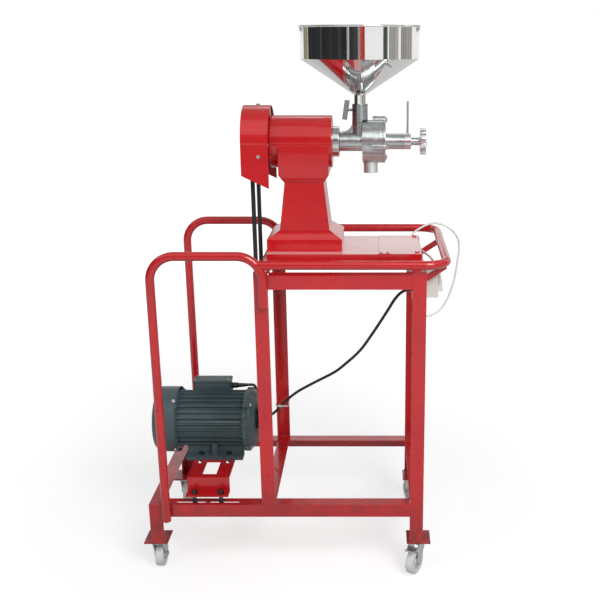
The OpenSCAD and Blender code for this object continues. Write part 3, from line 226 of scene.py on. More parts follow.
worn_coat, wear_in, wear_out = shader_group(
    "worn_coat",
    [("Chip Level", "NodeSocketFloat", 0.2), ("Peel Scale", "NodeSocketFloat", 420.0)],
    ["Mottle", "Chips", "Height", "Low Darkening"])
where = put(worn_coat, "ShaderNodeTexCoord").outputs["Object"]
mottle = noise(worn_coat, where, 5.0, 4.0, 0.55)
cluster = ramp(worn_coat, noise(worn_coat, where, 13.0, 2.0), 0.60, 0.72)
flecks = noise(worn_coat, where, 170.0, 3.0, 0.6)
limit = ramp(worn_coat, wear_in["Chip Level"], 0.0, 1.0, 0.86, 0.6)
bare = ramp(worn_coat, sums(worn_coat, "SUBTRACT", flecks, limit), 0.0, 0.02)
chips = sums(worn_coat, "MULTIPLY", bare, cluster)
peel = noise(worn_coat, where, wear_in["Peel Scale"], 1.0)
up = put(worn_coat, "ShaderNodeSeparateXYZ", {0: where}).outputs["Z"]
# The paint is darkened and roughened in patches towards the bottom, below 0.34 m.
low_down = ramp(worn_coat, up, 0.34, 0.08)
patches = ramp(worn_coat, noise(worn_coat, where, 26.0, 4.0, 0.6), 0.28, 0.6)
low_darkening = sums(worn_coat, "MULTIPLY", low_down, patches)
skin = sums(worn_coat, "SUBTRACT", peel, chips)
for label, socket in (("Mottle", mottle), ("Chips", chips), ("Height", skin), ("Low Darkening", low_darkening)):
    worn_coat.links.new(socket, wear_out[label])


def finish(name, sockets):
    """A new material with its plain values set on the shader."""
    made = bpy.data.materials.new(name)
    made.use_nodes = True
    shader = made.node_tree.nodes["Principled BSDF"]
    for label, value in sockets.items():
        shader.inputs[label].default_value = value
    return made, made.node_tree, shader.inputs


def two_tone(tree, factor, a, b):
    """Mixes two colours, each a colour or a socket."""
    shades = [c if isinstance(c, bpy.types.NodeSocket) else (*c, 1) for c in (a, b)]
    return put(tree, "ShaderNodeMix", {0: factor, 6: shades[0], 7: shades[1]},
               data_type="RGBA").outputs[2]


def relief(tree, shader, tall, depth):
    """Bumps a surface by a height, in metres."""
    bump = put(tree, "ShaderNodeBump", {"Height": tall, "Distance": depth, "Strength": 1.0})
    tree.links.new(bump.outputs[0], shader["Normal"])


def coated(name, dark, light, under, gloss, chip_level, peel_scale, peel_depth, coat, cast=0.0):
    """Sprayed paint: two shades, chips to what is under it, darker and rougher in patches low down,
    its own skin.
    """
    low_share, low_rough, chip_rough = 0.85, 0.25, 0.3
    made, tree, shader = finish(name, {"Coat Weight": coat, "Coat Roughness": 0.08,
                                       "Specular IOR Level": 0.4})
    wear = put(tree, "ShaderNodeGroup", node_tree=worn_coat)
    wear.inputs["Chip Level"].default_value = chip_level
    wear.inputs["Peel Scale"].default_value = peel_scale
    wear = wear.outputs
    tone = two_tone(tree, ramp(tree, wear["Mottle"], 0.3, 0.7), dark, light)
    low_tone = [0.22 * c + 0.012 for c in dark]
    tone = two_tone(tree, sums(tree, "MULTIPLY", wear["Low Darkening"], low_share), tone, low_tone)
    tree.links.new(two_tone(tree, wear["Chips"], tone, under), shader["Base Color"])
    rough = ramp(tree, wear["Mottle"], 0.3, 0.7, gloss - 0.05, gloss + 0.06)
    rough = sums(tree, "ADD", rough, sums(tree, "MULTIPLY", wear["Low Darkening"], low_rough))
    rough = sums(tree, "ADD", rough, sums(tree, "MULTIPLY", wear["Chips"], chip_rough))
    tree.links.new(rough, shader["Roughness"])
    tall = wear["Height"]
    if cast:
        spot = put(tree, "ShaderNodeTexCoord").outputs["Object"]
        tall = sums(tree, "ADD", tall, sums(tree, "MULTIPLY", noise(tree, spot, 48.0, 3.0, 0.55),
                                            cast))
    relief(tree, shader, tall, peel_depth)
    return made


red_dark = (0.50, 0.006, 0.010)
red_light = (0.62, 0.010, 0.014)
primer = (0.10, 0.05, 0.045)
red_enamel = coated("red_enamel", red_dark, red_light, primer, 0.26, 0.25, 380.0, 0.00006, 0.7)


def rounded(piece, width, segments=2):
    """Rounds a piece's sharp edges with a live bevel."""
    soft = piece.modifiers.new("rounded", "BEVEL")
    soft.width = width
    soft.segments = segments
    soft.limit_method = "ANGLE"
    soft.angle_limit = math.radians(38)
    shading = piece.modifiers.new("shading", "WEIGHTED_NORMAL")
    shading.weight = 60
    return piece


def dress(node, coat, edge):
    """Gives a CAD node its material and rounds its sharp edges by a small radius."""
    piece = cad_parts[node]
    for place in piece.material_slots:
        place.material = coat
    if edge:
        merged = piece.modifiers.new("merged", "WELD")
        merged.merge_threshold = 2e-6
        flats = piece.modifiers.new("flats", "DECIMATE")
        flats.decimate_type = "DISSOLVE"
        flats.angle_limit = math.radians(0.3)
        rounded(piece, edge)


mm = 0.001
for node in ("base_rails", "frame_posts", "table_rails", "caster_pads"):
    dress(node, red_enamel, 1.0 * mm)


def geometry_tree(name, inputs):
    """A Geometry Nodes tree with a mesh in and out and named inputs."""
    tree = bpy.data.node_groups.new(name, "GeometryNodeTree")
    tree.interface.new_socket("Guide", in_out="INPUT", socket_type="NodeSocketGeometry")
    for label, kind in inputs:
        tree.interface.new_socket(label, in_out="INPUT", socket_type=kind)
    tree.interface.new_socket("Made", in_out="OUTPUT", socket_type="NodeSocketGeometry")
    return tree, put(tree, "NodeGroupInput").outputs, put(tree, "NodeGroupOutput").inputs


def made_by(name, tree, guide, values, body):
    """Runs a tree on a guide mesh and keeps the result as a plain mesh that rides on a body."""
    piece = bpy.data.objects.new(name, guide)
    scene.collection.objects.link(piece)
    step = piece.modifiers.new("making", "NODES")
    step.node_group = tree
    for item in tree.interface.items_tree:
        if item.in_out == "INPUT" and item.name in values:
            step[item.identifier] = values[item.name]
    seen = piece.evaluated_get(bpy.context.evaluated_depsgraph_get())
    mesh = bpy.data.meshes.new_from_object(seen)
    piece.modifiers.remove(step)
    piece.data = mesh
    mesh.name = name
    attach(piece, body)
    return piece


weld_tree, weld_in, weld_out = geometry_tree(
    "weld_bead", [("Bead Radius", "NodeSocketFloat"), ("Step", "NodeSocketFloat"),
                  ("Coat", "NodeSocketMaterial")])
run_line = put(weld_tree, "GeometryNodeMeshToCurve", {"Mesh": weld_in["Guide"]})
spaced = put(weld_tree, "GeometryNodeResampleCurve",
             {"Curve": run_line.outputs[0], "Length": weld_in["Step"]}, mode="LENGTH")
ripple = put(weld_tree, "GeometryNodeMeshIcoSphere",
             {"Radius": weld_in["Bead Radius"], "Subdivisions": 2})
uneven = put(weld_tree, "FunctionNodeRandomValue",
             {0: (0.8, 0.8, 0.8), 1: (1.1, 1.1, 1.1), "Seed": 7}, data_type="FLOAT_VECTOR")
laid = put(weld_tree, "GeometryNodeInstanceOnPoints",
           {"Points": spaced.outputs[0], "Instance": ripple.outputs[0],
            "Scale": uneven.outputs[0]})
solid = put(weld_tree, "GeometryNodeRealizeInstances", {0: laid.outputs[0]})
smooth = put(weld_tree, "GeometryNodeSetShadeSmooth", {0: solid.outputs[0]})
painted = put(weld_tree, "GeometryNodeSetMaterial",
              {"Geometry": smooth.outputs[0], "Material": weld_in["Coat"]})
weld_tree.links.new(painted.outputs[0], weld_out["Made"])


def beads(name, lines, radius, coat):
    """Weld beads along straight lines, in mm."""
    guide = bpy.data.meshes.new(name + "_lines")
    guide.from_pydata([Vector(p) * mm for line in lines for p in line],
                      [(2 * i, 2 * i + 1) for i in range(len(lines))], [])
    return made_by(name, weld_tree, guide, {"Bead Radius": radius, "Step": 1.1 * radius,
                                            "Coat": coat}, "frame")


x_left, x_table, x_right, y_out = -431, -94, 386, 244
flange, wall = 40, 4
z_pad, z_base, z_table = 110, 239, 942
frame_lines = []
for s in (-1, 1):
    for x, into in ((x_left, 1), (x_right, -1)):
        frame_lines.append([(x, s * (y_out - flange + 3), z_pad), (x, s * (y_out - 5), z_pad)])
        frame_lines.append([(x + into * 5, s * (y_out - wall), z_pad),
                            (x + into * flange, s * (y_out - wall), z_pad)])
    frame_lines.append([(x_table, s * (y_out - flange + 2), z_base),
                        (x_table, s * (y_out - 2), z_base)])
    frame_lines.append([(x_table + 6, s * (y_out - wall), z_base),
                        (x_table + flange, s * (y_out - wall), z_base)])
    frame_lines.append([(x_right - wall, s * (y_out - flange), z_base),
                        (x_right - flange, s * (y_out - flange), z_base)])
    frame_lines.append([(x_right - wall, s * (y_out - flange), z_table),
                        (x_right - flange, s * (y_out - flange), z_table)])
beads("frame_welds", frame_lines, 2.2 * mm, red_enamel)

# Push handles, table loop and braces: bent steel tube and two flat bars, welded on and sprayed with
# the frame. Each tube end lies against a flange with a bead down both sides, and the braces are
# welded at their ends.
for node in ("push_handles", "table_loop"):
    dress(node, red_enamel, 0.5 * mm)
dress("loop_braces", red_enamel, 0.7 * mm)
handle_left, handle_right, valley = -376, -66.7, 6.5
seat, foot_low, foot_high, rail_low, rail_high = 246.3, 201, 236, 857, 933
loop_end, brace_side, brace_ys = 431.5, 3.0, (-215, 106)
brace_low, brace_high, loop_high, loop_low = 920, 937, 967, 958
tube_lines = []
for s in (-1, 1):
    for k in (-1, 1):
        for x, low, high in ((handle_left, foot_low, foot_high),
                             (handle_right, rail_low, rail_high)):
            tube_lines.append([(x + k * valley, s * seat, low), (x + k * valley, s * seat, high)])
for side in [y + k * brace_side for y in brace_ys for k in (-1, 1)]:
    tube_lines.append([(x_right, side, brace_low), (x_right, side, brace_high)])
    tube_lines.append([(loop_end - 0.5, side, loop_high), (loop_end + 2, side, loop_low)])
beads("tube_welds", tube_lines, 2.0 * mm, red_enamel)

# Casters: zinc-plated plates and forks with pale grey rubber wheels, two of them with a foot brake.
# Each plate is welded under its pad, the fork turns on a ball race, the tyre is moulded on a hub.
metal_marks, marks_in, marks_out = shader_group(
    "metal_marks",
    [("Stretch", "NodeSocketVector", (1, 1, 1)), ("Scale", "NodeSocketFloat", 300.0)],
    ["Marks", "Smudge"])
where = put(metal_marks, "ShaderNodeTexCoord").outputs["Object"]
along = put(metal_marks, "ShaderNodeVectorMath", {0: where, 1: marks_in["Stretch"]},
            operation="MULTIPLY").outputs[0]
metal_marks.links.new(noise(metal_marks, along, marks_in["Scale"], 3.0, 0.6), marks_out["Marks"])
metal_marks.links.new(noise(metal_marks, where, 16.0, 4.0, 0.6), marks_out["Smudge"])


def metal(name, dark, light, rough_low, rough_high, stretch, scale, depth):
    """Bare or plated metal: tool marks along a direction, smudges, and a slight relief."""
    made, tree, shader = finish(name, {"Metallic": 1.0})
    marks = put(tree, "ShaderNodeGroup", node_tree=metal_marks)
    marks.inputs["Stretch"].default_value = stretch
    marks.inputs["Scale"].default_value = scale
    marks = marks.outputs
    halves = [sums(tree, "MULTIPLY", marks[label], 0.5) for label in ("Marks", "Smudge")]
    mixed = sums(tree, "ADD", *halves)
    tree.links.new(two_tone(tree, ramp(tree, mixed, 0.32, 0.68), dark, light), shader["Base Color"])
    tree.links.new(ramp(tree, mixed, 0.3, 0.7, rough_low, rough_high), shader["Roughness"])
    if depth:
        relief(tree, shader, marks["Marks"], depth)
    return made


def moulded(name, dark, light, rough, scale, depth):
    """Moulded rubber or plastic: a fine grain, faint cloudiness and its own gloss."""
    made, tree, shader = finish(name, {"Specular IOR Level": 0.45})
    spot = put(tree, "ShaderNodeTexCoord").outputs["Object"]
    cloud = noise(tree, spot, 22.0, 4.0, 0.6)
    tree.links.new(two_tone(tree, ramp(tree, cloud, 0.3, 0.7), dark, light), shader["Base Color"])
    tree.links.new(ramp(tree, cloud, 0.3, 0.7, rough - 0.06, rough + 0.08), shader["Roughness"])
    relief(tree, shader, noise(tree, spot, scale, 2.0), depth)
    return made


zinc = metal("zinc_plate", (0.46, 0.47, 0.47), (0.64, 0.65, 0.65), 0.26, 0.44, (1, 1, 1), 240.0,
             0.00006)
pale_rubber = moulded("pale_rubber", (0.64, 0.68, 0.67), (0.78, 0.82, 0.81), 0.5, 500.0, 0.00012)
hub_plastic = moulded("hub_plastic", (0.64, 0.67, 0.66), (0.75, 0.78, 0.77), 0.4, 600.0, 0.00006)


def keep(name, build, coats, body, smooth=True):
    """Turns a finished bmesh into a piece that rides on a body."""
    bmesh.ops.remove_doubles(build, verts=build.verts, dist=1e-6)
    bmesh.ops.recalc_face_normals(build, faces=build.faces)
    for face in build.faces:
        face.smooth = smooth
    mesh = bpy.data.meshes.new(name)
    build.to_mesh(mesh)
    build.free()
    for coat in coats:
        mesh.materials.append(coat)
    piece = bpy.data.objects.new(name, mesh)
    scene.collection.objects.link(piece)
    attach(piece, body)
    return piece


def lathe(build, profile, place, around=40, coat=0):
    """Turns a closed profile of (radius, height) in mm about the local Z of a placing matrix."""
    rings = []
    for i in range(around):
        turn = 2 * math.pi * i / around
        rings.append([build.verts.new(place @ Vector((r * math.cos(turn) * mm,
                                                      r * math.sin(turn) * mm, h * mm)))
                      for r, h in profile])
    for i in range(around):
        near, far = rings[i], rings[(i + 1) % around]
        for k in range(len(profile)):
            n = (k + 1) % len(profile)
            face = build.faces.new((near[k], near[n], far[n], far[k]))
            face.material_index = coat


def sharpened(piece, degrees=32):
    """Marks edges sharper than an angle so that turned steps stay crisp under smooth shading."""
    piece.data.set_sharp_from_angle(angle=math.radians(degrees))
    return piece


dress("caster_plates", zinc, 0.4 * mm)
wheel_r, trail = 37.5, 24
tyre = [(28.2, -9), (28.6, -11.6), (30, -12.3), (34.4, -12.4), (36.6, -11), (37.4, -8), (37.5, -3),
        (37.5, 3), (37.4, 8), (36.6, 11), (34.4, 12.4), (30, 12.3), (28.6, 11.6), (28.2, 9)]
hub = [(5.2, -13.6), (12.5, -13.6), (13.2, -12.8), (13.6, -7), (24, -6), (26.8, -6.6),
       (27.4, -9.2), (28.1, -9.6), (28.1, 9.6), (27.4, 9.2), (26.8, 6.6), (24, 6),
       (13.6, 7), (13.2, 12.8), (12.5, 13.6), (5.2, 13.6)]
race = [(11, 95.7), (23, 95.7), (26.5, 97.2), (27.6, 99.5), (27.6, 101.2), (26.8, 101.9),
        (11, 101.9)]
caster_left, caster_right, caster_y = -419, 374, 204
corners = (("front_left", caster_left, -caster_y, 0), ("rear_left", caster_left, caster_y, 0),
           ("front_right", caster_right, -caster_y, 150),
           ("rear_right", caster_right, caster_y, 20))
for corner, x, y, turn in corners:
    dress(corner + "_fork", zinc, 0.5 * mm)
    stand = Matrix.Translation((x * mm, y * mm, 0)) @ Matrix.Rotation(math.radians(turn), 4, "Z")
    axle = (stand @ Matrix.Translation((0, trail * mm, wheel_r * mm))
            @ Matrix.Rotation(math.radians(90), 4, "Y"))
    rolling = bmesh.new()
    lathe(rolling, tyre, axle, 56)
    rubber = sharpened(keep(corner + "_tyre", rolling, [pale_rubber], corner + "_roller"))
    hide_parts(corner + "_wheel")
    centre = bmesh.new()
    lathe(centre, hub, axle, 40)
    sharpened(keep(corner + "_hub", centre, [hub_plastic], corner + "_roller"))
    ring = bmesh.new()
    lathe(ring, race, stand, 40)
    sharpened(keep(corner + "_race", ring, [zinc], corner + "_swivel"))
for corner in ("front_right", "rear_right"):
    dress(corner + "_brake", zinc, 0.5 * mm)


# Table box: a folded sheet tray on the table rails, with a lid plate over its right end and a small
# folded strap that ties the lid to the tray's front edge by two screws. It is sprayed with the
# frame, and its top is painted pale pink: a painted sheen, with a film of pale dust.
def plate(build, low, high):
    """A plain block between two corners, in mm."""
    size = [b - a for a, b in zip(low, high)]
    middle = [(a + b) / 2 for a, b in zip(low, high)]
    place = Matrix.Translation(Vector(middle) * mm) @ Matrix.Diagonal((*[s * mm for s in size], 1))
    bmesh.ops.create_cube(build, size=1.0, matrix=place)


def faced(coat, name, axis, least, colour, film=None):
    """A copy of a material, coloured or filmed over on the faces that look along an axis."""
    made = coat.copy()
    made.name = name
    tree = made.node_tree
    tint = tree.nodes["Principled BSDF"].inputs["Base Color"]
    normal = put(tree, "ShaderNodeNewGeometry").outputs["Normal"]
    facing = put(tree, "ShaderNodeSeparateXYZ", {0: normal}).outputs[axis]
    share = ramp(tree, facing, least, 0.95)
    if film:
        spot = put(tree, "ShaderNodeTexCoord").outputs["Object"]
        patchy = ramp(tree, noise(tree, spot, 9.0, 4.0), 0.2, 0.7, film * 0.75, film)
        share = sums(tree, "MULTIPLY", share, patchy)
    tree.links.new(two_tone(tree, share, tint.links[0].from_socket, colour), tint)
    return made


head_tree, head_in, head_out = geometry_tree(
    "fastener_heads",
    [("Head Radius", "NodeSocketFloat"), ("Head Height", "NodeSocketFloat"),
     ("Sides", "NodeSocketInt"), ("Coat", "NodeSocketMaterial")])


def of_head(label, factor):
    """A share of one of the head's own sizes."""
    return sums(head_tree, "MULTIPLY", head_in[label], factor)


washer = put(head_tree, "GeometryNodeMeshCylinder", {
    "Vertices": 24, "Radius": of_head("Head Radius", 1.28), "Depth": of_head("Head Height", 0.3)})
shank = put(head_tree, "GeometryNodeMeshCylinder", {
    "Vertices": head_in["Sides"], "Radius": head_in["Head Radius"],
    "Depth": of_head("Head Height", 1.6)})
crown = put(head_tree, "GeometryNodeMeshCone", {
    "Vertices": head_in["Sides"], "Radius Top": of_head("Head Radius", 0.78),
    "Radius Bottom": head_in["Head Radius"], "Depth": of_head("Head Height", 0.2)})
lift = put(head_tree, "ShaderNodeCombineXYZ", {"Z": of_head("Head Height", 0.8)})
raised = put(head_tree, "GeometryNodeTransform",
             {"Geometry": crown.outputs["Mesh"], "Translation": lift.outputs[0]})
head = put(head_tree, "GeometryNodeJoinGeometry")
for part in (washer.outputs["Mesh"], shank.outputs["Mesh"], raised.outputs[0]):
    head_tree.links.new(part, head.inputs[0])
facing = put(head_tree, "GeometryNodeInputNamedAttribute", {"Name": "facing"},
             data_type="FLOAT_VECTOR")
turned_to = put(head_tree, "FunctionNodeAlignRotationToVector",
                {"Vector": facing.outputs["Attribute"]}, axis="Z")
seated = put(head_tree, "GeometryNodeInstanceOnPoints",
             {"Points": head_in["Guide"], "Instance": head.outputs[0],
              "Rotation": turned_to.outputs[0]})
solid = put(head_tree, "GeometryNodeRealizeInstances", {0: seated.outputs[0]})
plated = put(head_tree, "GeometryNodeSetMaterial",
             {"Geometry": solid.outputs[0], "Material": head_in["Coat"]})
head_tree.links.new(plated.outputs[0], head_out["Made"])


def heads(name, places, radius, height, sides, coat, body="frame"):
    """Bolt or screw heads at places in mm, each with its facing, sunk a little into their seats."""
    guide = bpy.data.meshes.new(name + "_places")
    guide.from_pydata([Vector(p) * mm for p, _ in places], [], [])
    ways = guide.attributes.new("facing", "FLOAT_VECTOR", "POINT")
    for i, (_, way) in enumerate(places):
        ways.data[i].vector = way
    sizes = {"Head Radius": radius, "Head Height": height, "Sides": sides, "Coat": coat}
    return made_by(name, head_tree, guide, sizes, body)


# Faces that look up are painted a patchy pale pink: a painted sheen of the white room, together with
# pale dust.
table_enamel = faced(red_enamel, "red_enamel_sheen_and_dust", "Z", 0.6, (0.98, 0.73, 0.71), film=0.80)
dress("table_box", table_enamel, 1.2 * mm)
dress("table_bolts", table_enamel, 0.4 * mm)
z_tray, lid_left, lid_right, tray_front, tray_back = 976, 254, 376.5, -129, 128.5
strap_left, strap_right, strap_out = lid_left - 3, lid_left + 34, tray_front - 1.6
strap_in, strap_low, strap_top = tray_front + 12, z_tray - 15, z_tray + 2.4
sheets = bmesh.new()
plate(sheets, (lid_left, tray_front + 0.5, z_tray), (lid_right, tray_back, z_tray + 1))
plate(sheets, (strap_left, strap_out, strap_low), (strap_right, tray_front, z_tray + 2.2))
plate(sheets, (strap_left, strap_out, z_tray + 0.8), (strap_right, strap_in, strap_top))
rounded(keep("table_lid", sheets, [table_enamel], "frame", False), 0.5 * mm)
gap = bmesh.new()
plate(gap, (lid_left - 1.2, strap_in, z_tray - 0.2), (lid_left + 0.2, 128, z_tray + 0.3))
keep("lid_gap", gap, [red_enamel], "frame", False)
lid_screws = [((lid_left + k, tray_front + 6, z_tray + 2.2), (0, 0, 1)) for k in (6, 25)]
heads("lid_screws", lid_screws, 4 * mm, 2.6 * mm, 16, red_enamel)

# Pedestal and bearing drum: grey iron castings, filled, rubbed down and sprayed red.
# The pedestal is bolted through the tray, and the drum sits in its saddle.
cast_enamel = coated("cast_red_enamel", red_dark, red_light, primer, 0.24, 0.2, 300.0, 0.00012, 0.6,
                     2.4)
dress("pedestal", cast_enamel, 2.6 * mm)
dress("bearing_housing", cast_enamel, 1.8 * mm)

# Spindle, bearings, auger, burrs and pulleys: turned steel and cast iron parts that run inside the
# mill and on the motor's shaft, most of them out of sight.
turned_steel = metal("turned_steel", (0.56, 0.57, 0.57), (0.74, 0.75, 0.75), 0.12, 0.26,
                     (1, 0.03, 0.03), 900.0, 0.00002)
cast_iron = metal("grey_iron", (0.11, 0.11, 0.115), (0.20, 0.20, 0.205), 0.34, 0.52, (1, 1, 1),
                  300.0, 0.00015)
for node in ("spindle", "spindle_bearings", "feed_auger", "motor_rotor"):
    dress(node, turned_steel, 0)
for node in ("fixed_burr", "rotating_burr", "mill_pulley", "motor_pulley"):
    dress(node, cast_iron, 0)

# Barrel, grinding chamber, cover and spout: castings turned and polished bright, held by lug bolts.
# A dark joint line shows at the throat, where the barrel meets its flange, and where the cover
# meets the chamber.
polished_cast = metal("polished_casting", (0.41, 0.445, 0.455), (0.56, 0.59, 0.595), 0.19, 0.30,
                      (1, 1, 1), 70.0, 0.00008)
dress("barrel_flange", turned_steel, 1.0 * mm)
dress("mill_barrel", polished_cast, 0.9 * mm)
dress("grinding_chamber", polished_cast, 1.2 * mm)
dress("chamber_cover", polished_cast, 1.2 * mm)
dress("mill_bolts", zinc, 0.4 * mm)
dull_alloy = metal("dull_alloy", (0.70, 0.70, 0.68), (0.80, 0.80, 0.78), 0.46, 0.58, (1, 1, 1),
                   160.0, 0.00005)
dress("outlet_spout", dull_alloy, 0.3 * mm)
mill_axis, throat_x = 1283, 199
joint_dark = moulded("joint_shadow", (0.02, 0.02, 0.02), (0.05, 0.05, 0.048), 0.6, 300.0, 0.00005)
seams = bmesh.new()
throat_joint = [(22.4, 1339), (23.25, 1339.3), (23.25, 1340.3), (22.4, 1340.6)]
cover_joint = [(60.6, 264.3), (61.75, 264.5), (61.75, 265.4), (60.6, 265.6)]
flange_joint = [(28, 138.7), (29.2, 138.8), (29.2, 140.2), (28, 140.3)]
lathe(seams, throat_joint, Matrix.Translation((throat_x * mm, 0, 0)), 48)
along_mill = Matrix.Translation((0, 0, mill_axis * mm)) @ Matrix.Rotation(math.radians(90), 4, "Y")
lathe(seams, cover_joint, along_mill, 64)
lathe(seams, flange_joint, along_mill, 48)
keep("mill_joint_lines", seams, [joint_dark], "frame")

# Hopper: spun from polished stainless sheet, its neck pushed into the throat and held by a clamp
# screw. The clamp screw ends in a flat thumb plate.
mirror_sheet = metal("mirror_stainless", (0.74, 0.75, 0.74), (0.84, 0.84, 0.83), 0.03, 0.07,
                     (0.05, 0.05, 1), 500.0, 0)
dress("hopper", mirror_sheet, 0)
dull_steel = metal("dull_steel", (0.22, 0.23, 0.225), (0.34, 0.35, 0.345), 0.40, 0.55, (1, 1, 1),
                   200.0, 0.00005)
dress("clamp_screw", dull_steel, 0.4 * mm)

# Lock nut, adjusting screw and hand wheel: turned steel, the screw with a rolled thread, the wheel
# chrome plated. The nut's lever locks the screw where the hand wheel has set the burr.
dress("lock_nut", turned_steel, 0.6 * mm)
dress("adjusting_screw", turned_steel, 0.5 * mm)
chrome = metal("chrome_plate", (0.62, 0.63, 0.64), (0.74, 0.75, 0.76), 0.06, 0.14, (1, 1, 1), 200.0,
               0)
dress("hand_wheel", chrome, 1.0 * mm)
thread_tree, thread_in, thread_out = geometry_tree(
    "screw_thread", [("Thread Radius", "NodeSocketFloat"), ("Ridge", "NodeSocketFloat"),
                     ("Length", "NodeSocketFloat"), ("Turns", "NodeSocketFloat"),
                     ("Coat", "NodeSocketMaterial")])
helix = put(thread_tree, "GeometryNodeCurveSpiral", {
    "Resolution": 32, "Rotations": thread_in["Turns"], "Start Radius": thread_in["Thread Radius"],
    "End Radius": thread_in["Thread Radius"], "Height": thread_in["Length"]})
ridge = put(thread_tree, "GeometryNodeCurvePrimitiveCircle",
            {"Resolution": 6, "Radius": thread_in["Ridge"]})
wound = put(thread_tree, "GeometryNodeCurveToMesh",
            {"Curve": helix.outputs[0], "Profile Curve": ridge.outputs[0], "Fill Caps": True})
solid = put(thread_tree, "GeometryNodeRealizeInstances", {0: wound.outputs[0]})
rolled = put(thread_tree, "GeometryNodeSetMaterial",
             {"Geometry": solid.outputs[0], "Material": thread_in["Coat"]})
thread_tree.links.new(rolled.outputs[0], thread_out["Made"])
screw_from, screw_length, screw_radius, thread_pitch, ridge_radius = 348.6, 23.6, 11.5, 2.0, 0.62
thread = made_by("screw_thread", thread_tree, bpy.data.meshes.new("thread_start"),
                 {"Thread Radius": screw_radius * mm, "Ridge": ridge_radius * mm,
                  "Length": screw_length * mm, "Turns": screw_length / thread_pitch,
                  "Coat": turned_steel}, "screw_set")
thread.data.transform(Matrix.Translation((screw_from * mm, 0, 0)) @ along_mill)

# Belt and guard: a black rubber V-belt under a half-round guard of folded red sheet with two
# skirts, which an inner bracket holds on the end of the drum.
black_rubber = moulded("black_rubber", (0.010, 0.010, 0.011), (0.020, 0.020, 0.021), 0.55, 400.0,
                       0.00015)
dress("v_belt", black_rubber, 0)
for node in ("belt_guard", "guard_skirts", "guard_bracket"):
    dress(node, red_enamel, 0.35 * mm)

# Motor: a finned iron frame with end shield, fan cover and terminal box, all in satin slate-grey
# paint. Cast ears at the shaft end take four bright bolts, four screws hold the fan cover, and the
# box has a lid.
slate_paint = coated("slate_paint", (0.047, 0.074, 0.082), (0.069, 0.107, 0.117),
                     (0.16, 0.16, 0.16), 0.42, 0.15, 240.0, 0.00018, 0.1, 1.2)
dress("motor_frame", slate_paint, 0.7 * mm)
dress("motor_end_shield", slate_paint, 1.5 * mm)
dress("motor_fan_cover", slate_paint, 1.0 * mm)
dress("terminal_box", slate_paint, 1.5 * mm)
motor_axis, shield_face, ear_x0 = 410, -146.5, -168
ear_half, ear_in, ear_out, ear_proud, bolt_circle = 13, 84, 102, 1.5, 93
fan_screw_x, fan_screw_circle, fan_screw_back = -382, 103, 5
ears = bmesh.new()
shield_bolts = []
fan_screws = []
for a in (50, 130, 230, 310):
    across, rise = math.cos(math.radians(a)), math.sin(math.radians(a))
    block = bmesh.new()
    plate(block, (ear_x0, -ear_half, ear_in), (shield_face + ear_proud, ear_half, ear_out))
    around_shaft = Matrix.Rotation(math.radians(a - 90), 4, "X")
    block.transform(Matrix.Translation((0, 0, motor_axis * mm)) @ around_shaft)
    spare = bpy.data.meshes.new("ear")
    block.to_mesh(spare)
    block.free()
    ears.from_mesh(spare)
    shield_bolts.append(((shield_face + ear_proud, bolt_circle * across,
                          motor_axis + bolt_circle * rise), (1, 0, 0)))
    turn = math.radians(a - fan_screw_back)
    fan_screws.append(((fan_screw_x, fan_screw_circle * math.cos(turn),
                        motor_axis + fan_screw_circle * math.sin(turn)), (0, across, rise)))
rounded(keep("shield_ears", ears, [slate_paint], "frame", False), 4 * mm, 3)
heads("shield_bolts", shield_bolts, 5.5 * mm, 5 * mm, 6, zinc)
heads("fan_cover_screws", fan_screws, 4.4 * mm, 3 * mm, 16, zinc)
terminal_x, terminal_y, terminal_top = -274, 40, 532
terminal_dx, terminal_dy = 51, 17
lid_low, lid_high = (-334.2, 14.8, 522), (-213.8, 65.2, 532.2)
lid = bmesh.new()
plate(lid, lid_low, lid_high)
rounded(keep("terminal_lid", lid, [slate_paint], "frame", False), 4 * mm, 3)
terminal_screws = [
    ((terminal_x + i * terminal_dx, terminal_y + j * terminal_dy, terminal_top), (0, 0, 1))
    for i in (-1, 1) for j in (-1, 1)]
heads("terminal_screws", terminal_screws, 3 * mm, 2 * mm, 16, zinc)

# Motor bracket: a folded red plate whose flanges slide on four studs in the base rails' slots.
# The motor's foot bolts go through its top.
blued_steel = metal("blued_steel", (0.06, 0.06, 0.065), (0.14, 0.13, 0.13), 0.32, 0.5, (1, 1, 1),
                    260.0, 0.00005)
dress("motor_bracket", red_enamel, 0.8 * mm)
dress("motor_bolts", blued_steel, 0.4 * mm)

# Switch box: a pale grey moulded box on the right rail, with cord glands that are grey here and
# black at the motor. Four screws hold its cover, and its two grey buttons, with a green and a red
# front, stand in raised collars.
grey_plastic = moulded("grey_plastic", (0.76, 0.77, 0.72), (0.85, 0.86, 0.81), 0.42, 600.0, 0.0001)
black_plastic = moulded("black_plastic", (0.012, 0.012, 0.013), (0.022, 0.022, 0.024), 0.45, 700.0,
                        0.0001)
green_front = faced(grey_plastic, "green_front", "X", 0.7, (0.010, 0.19, 0.038))
red_front = faced(grey_plastic, "red_front", "X", 0.7, (0.47, 0.012, 0.011))
dress("switch_box", grey_plastic, 2.0 * mm)
dress("start_button", green_front, 1.0 * mm)
dress("stop_button", red_front, 1.0 * mm)
gland_black, gland_grey = (0.02, 0.022, 0.024), (0.80, 0.81, 0.76)
gland_plastic, tree, shader = finish("gland_plastic",
                                     {"Roughness": 0.42, "Specular IOR Level": 0.45})
spot = put(tree, "ShaderNodeTexCoord").outputs["Object"]
at_switch = ramp(tree, put(tree, "ShaderNodeSeparateXYZ", {0: spot}).outputs["X"], 0.0, 0.1)
tree.links.new(two_tone(tree, at_switch, gland_black, gland_grey), shader["Base Color"])
dress("cord_glands", gland_plastic, 0.8 * mm)
switch_face, button_z, button_ys = 422, 909, (-172, -134)
collar_in, collar_out, collar_tip = 8.5, 10.8, 10.2
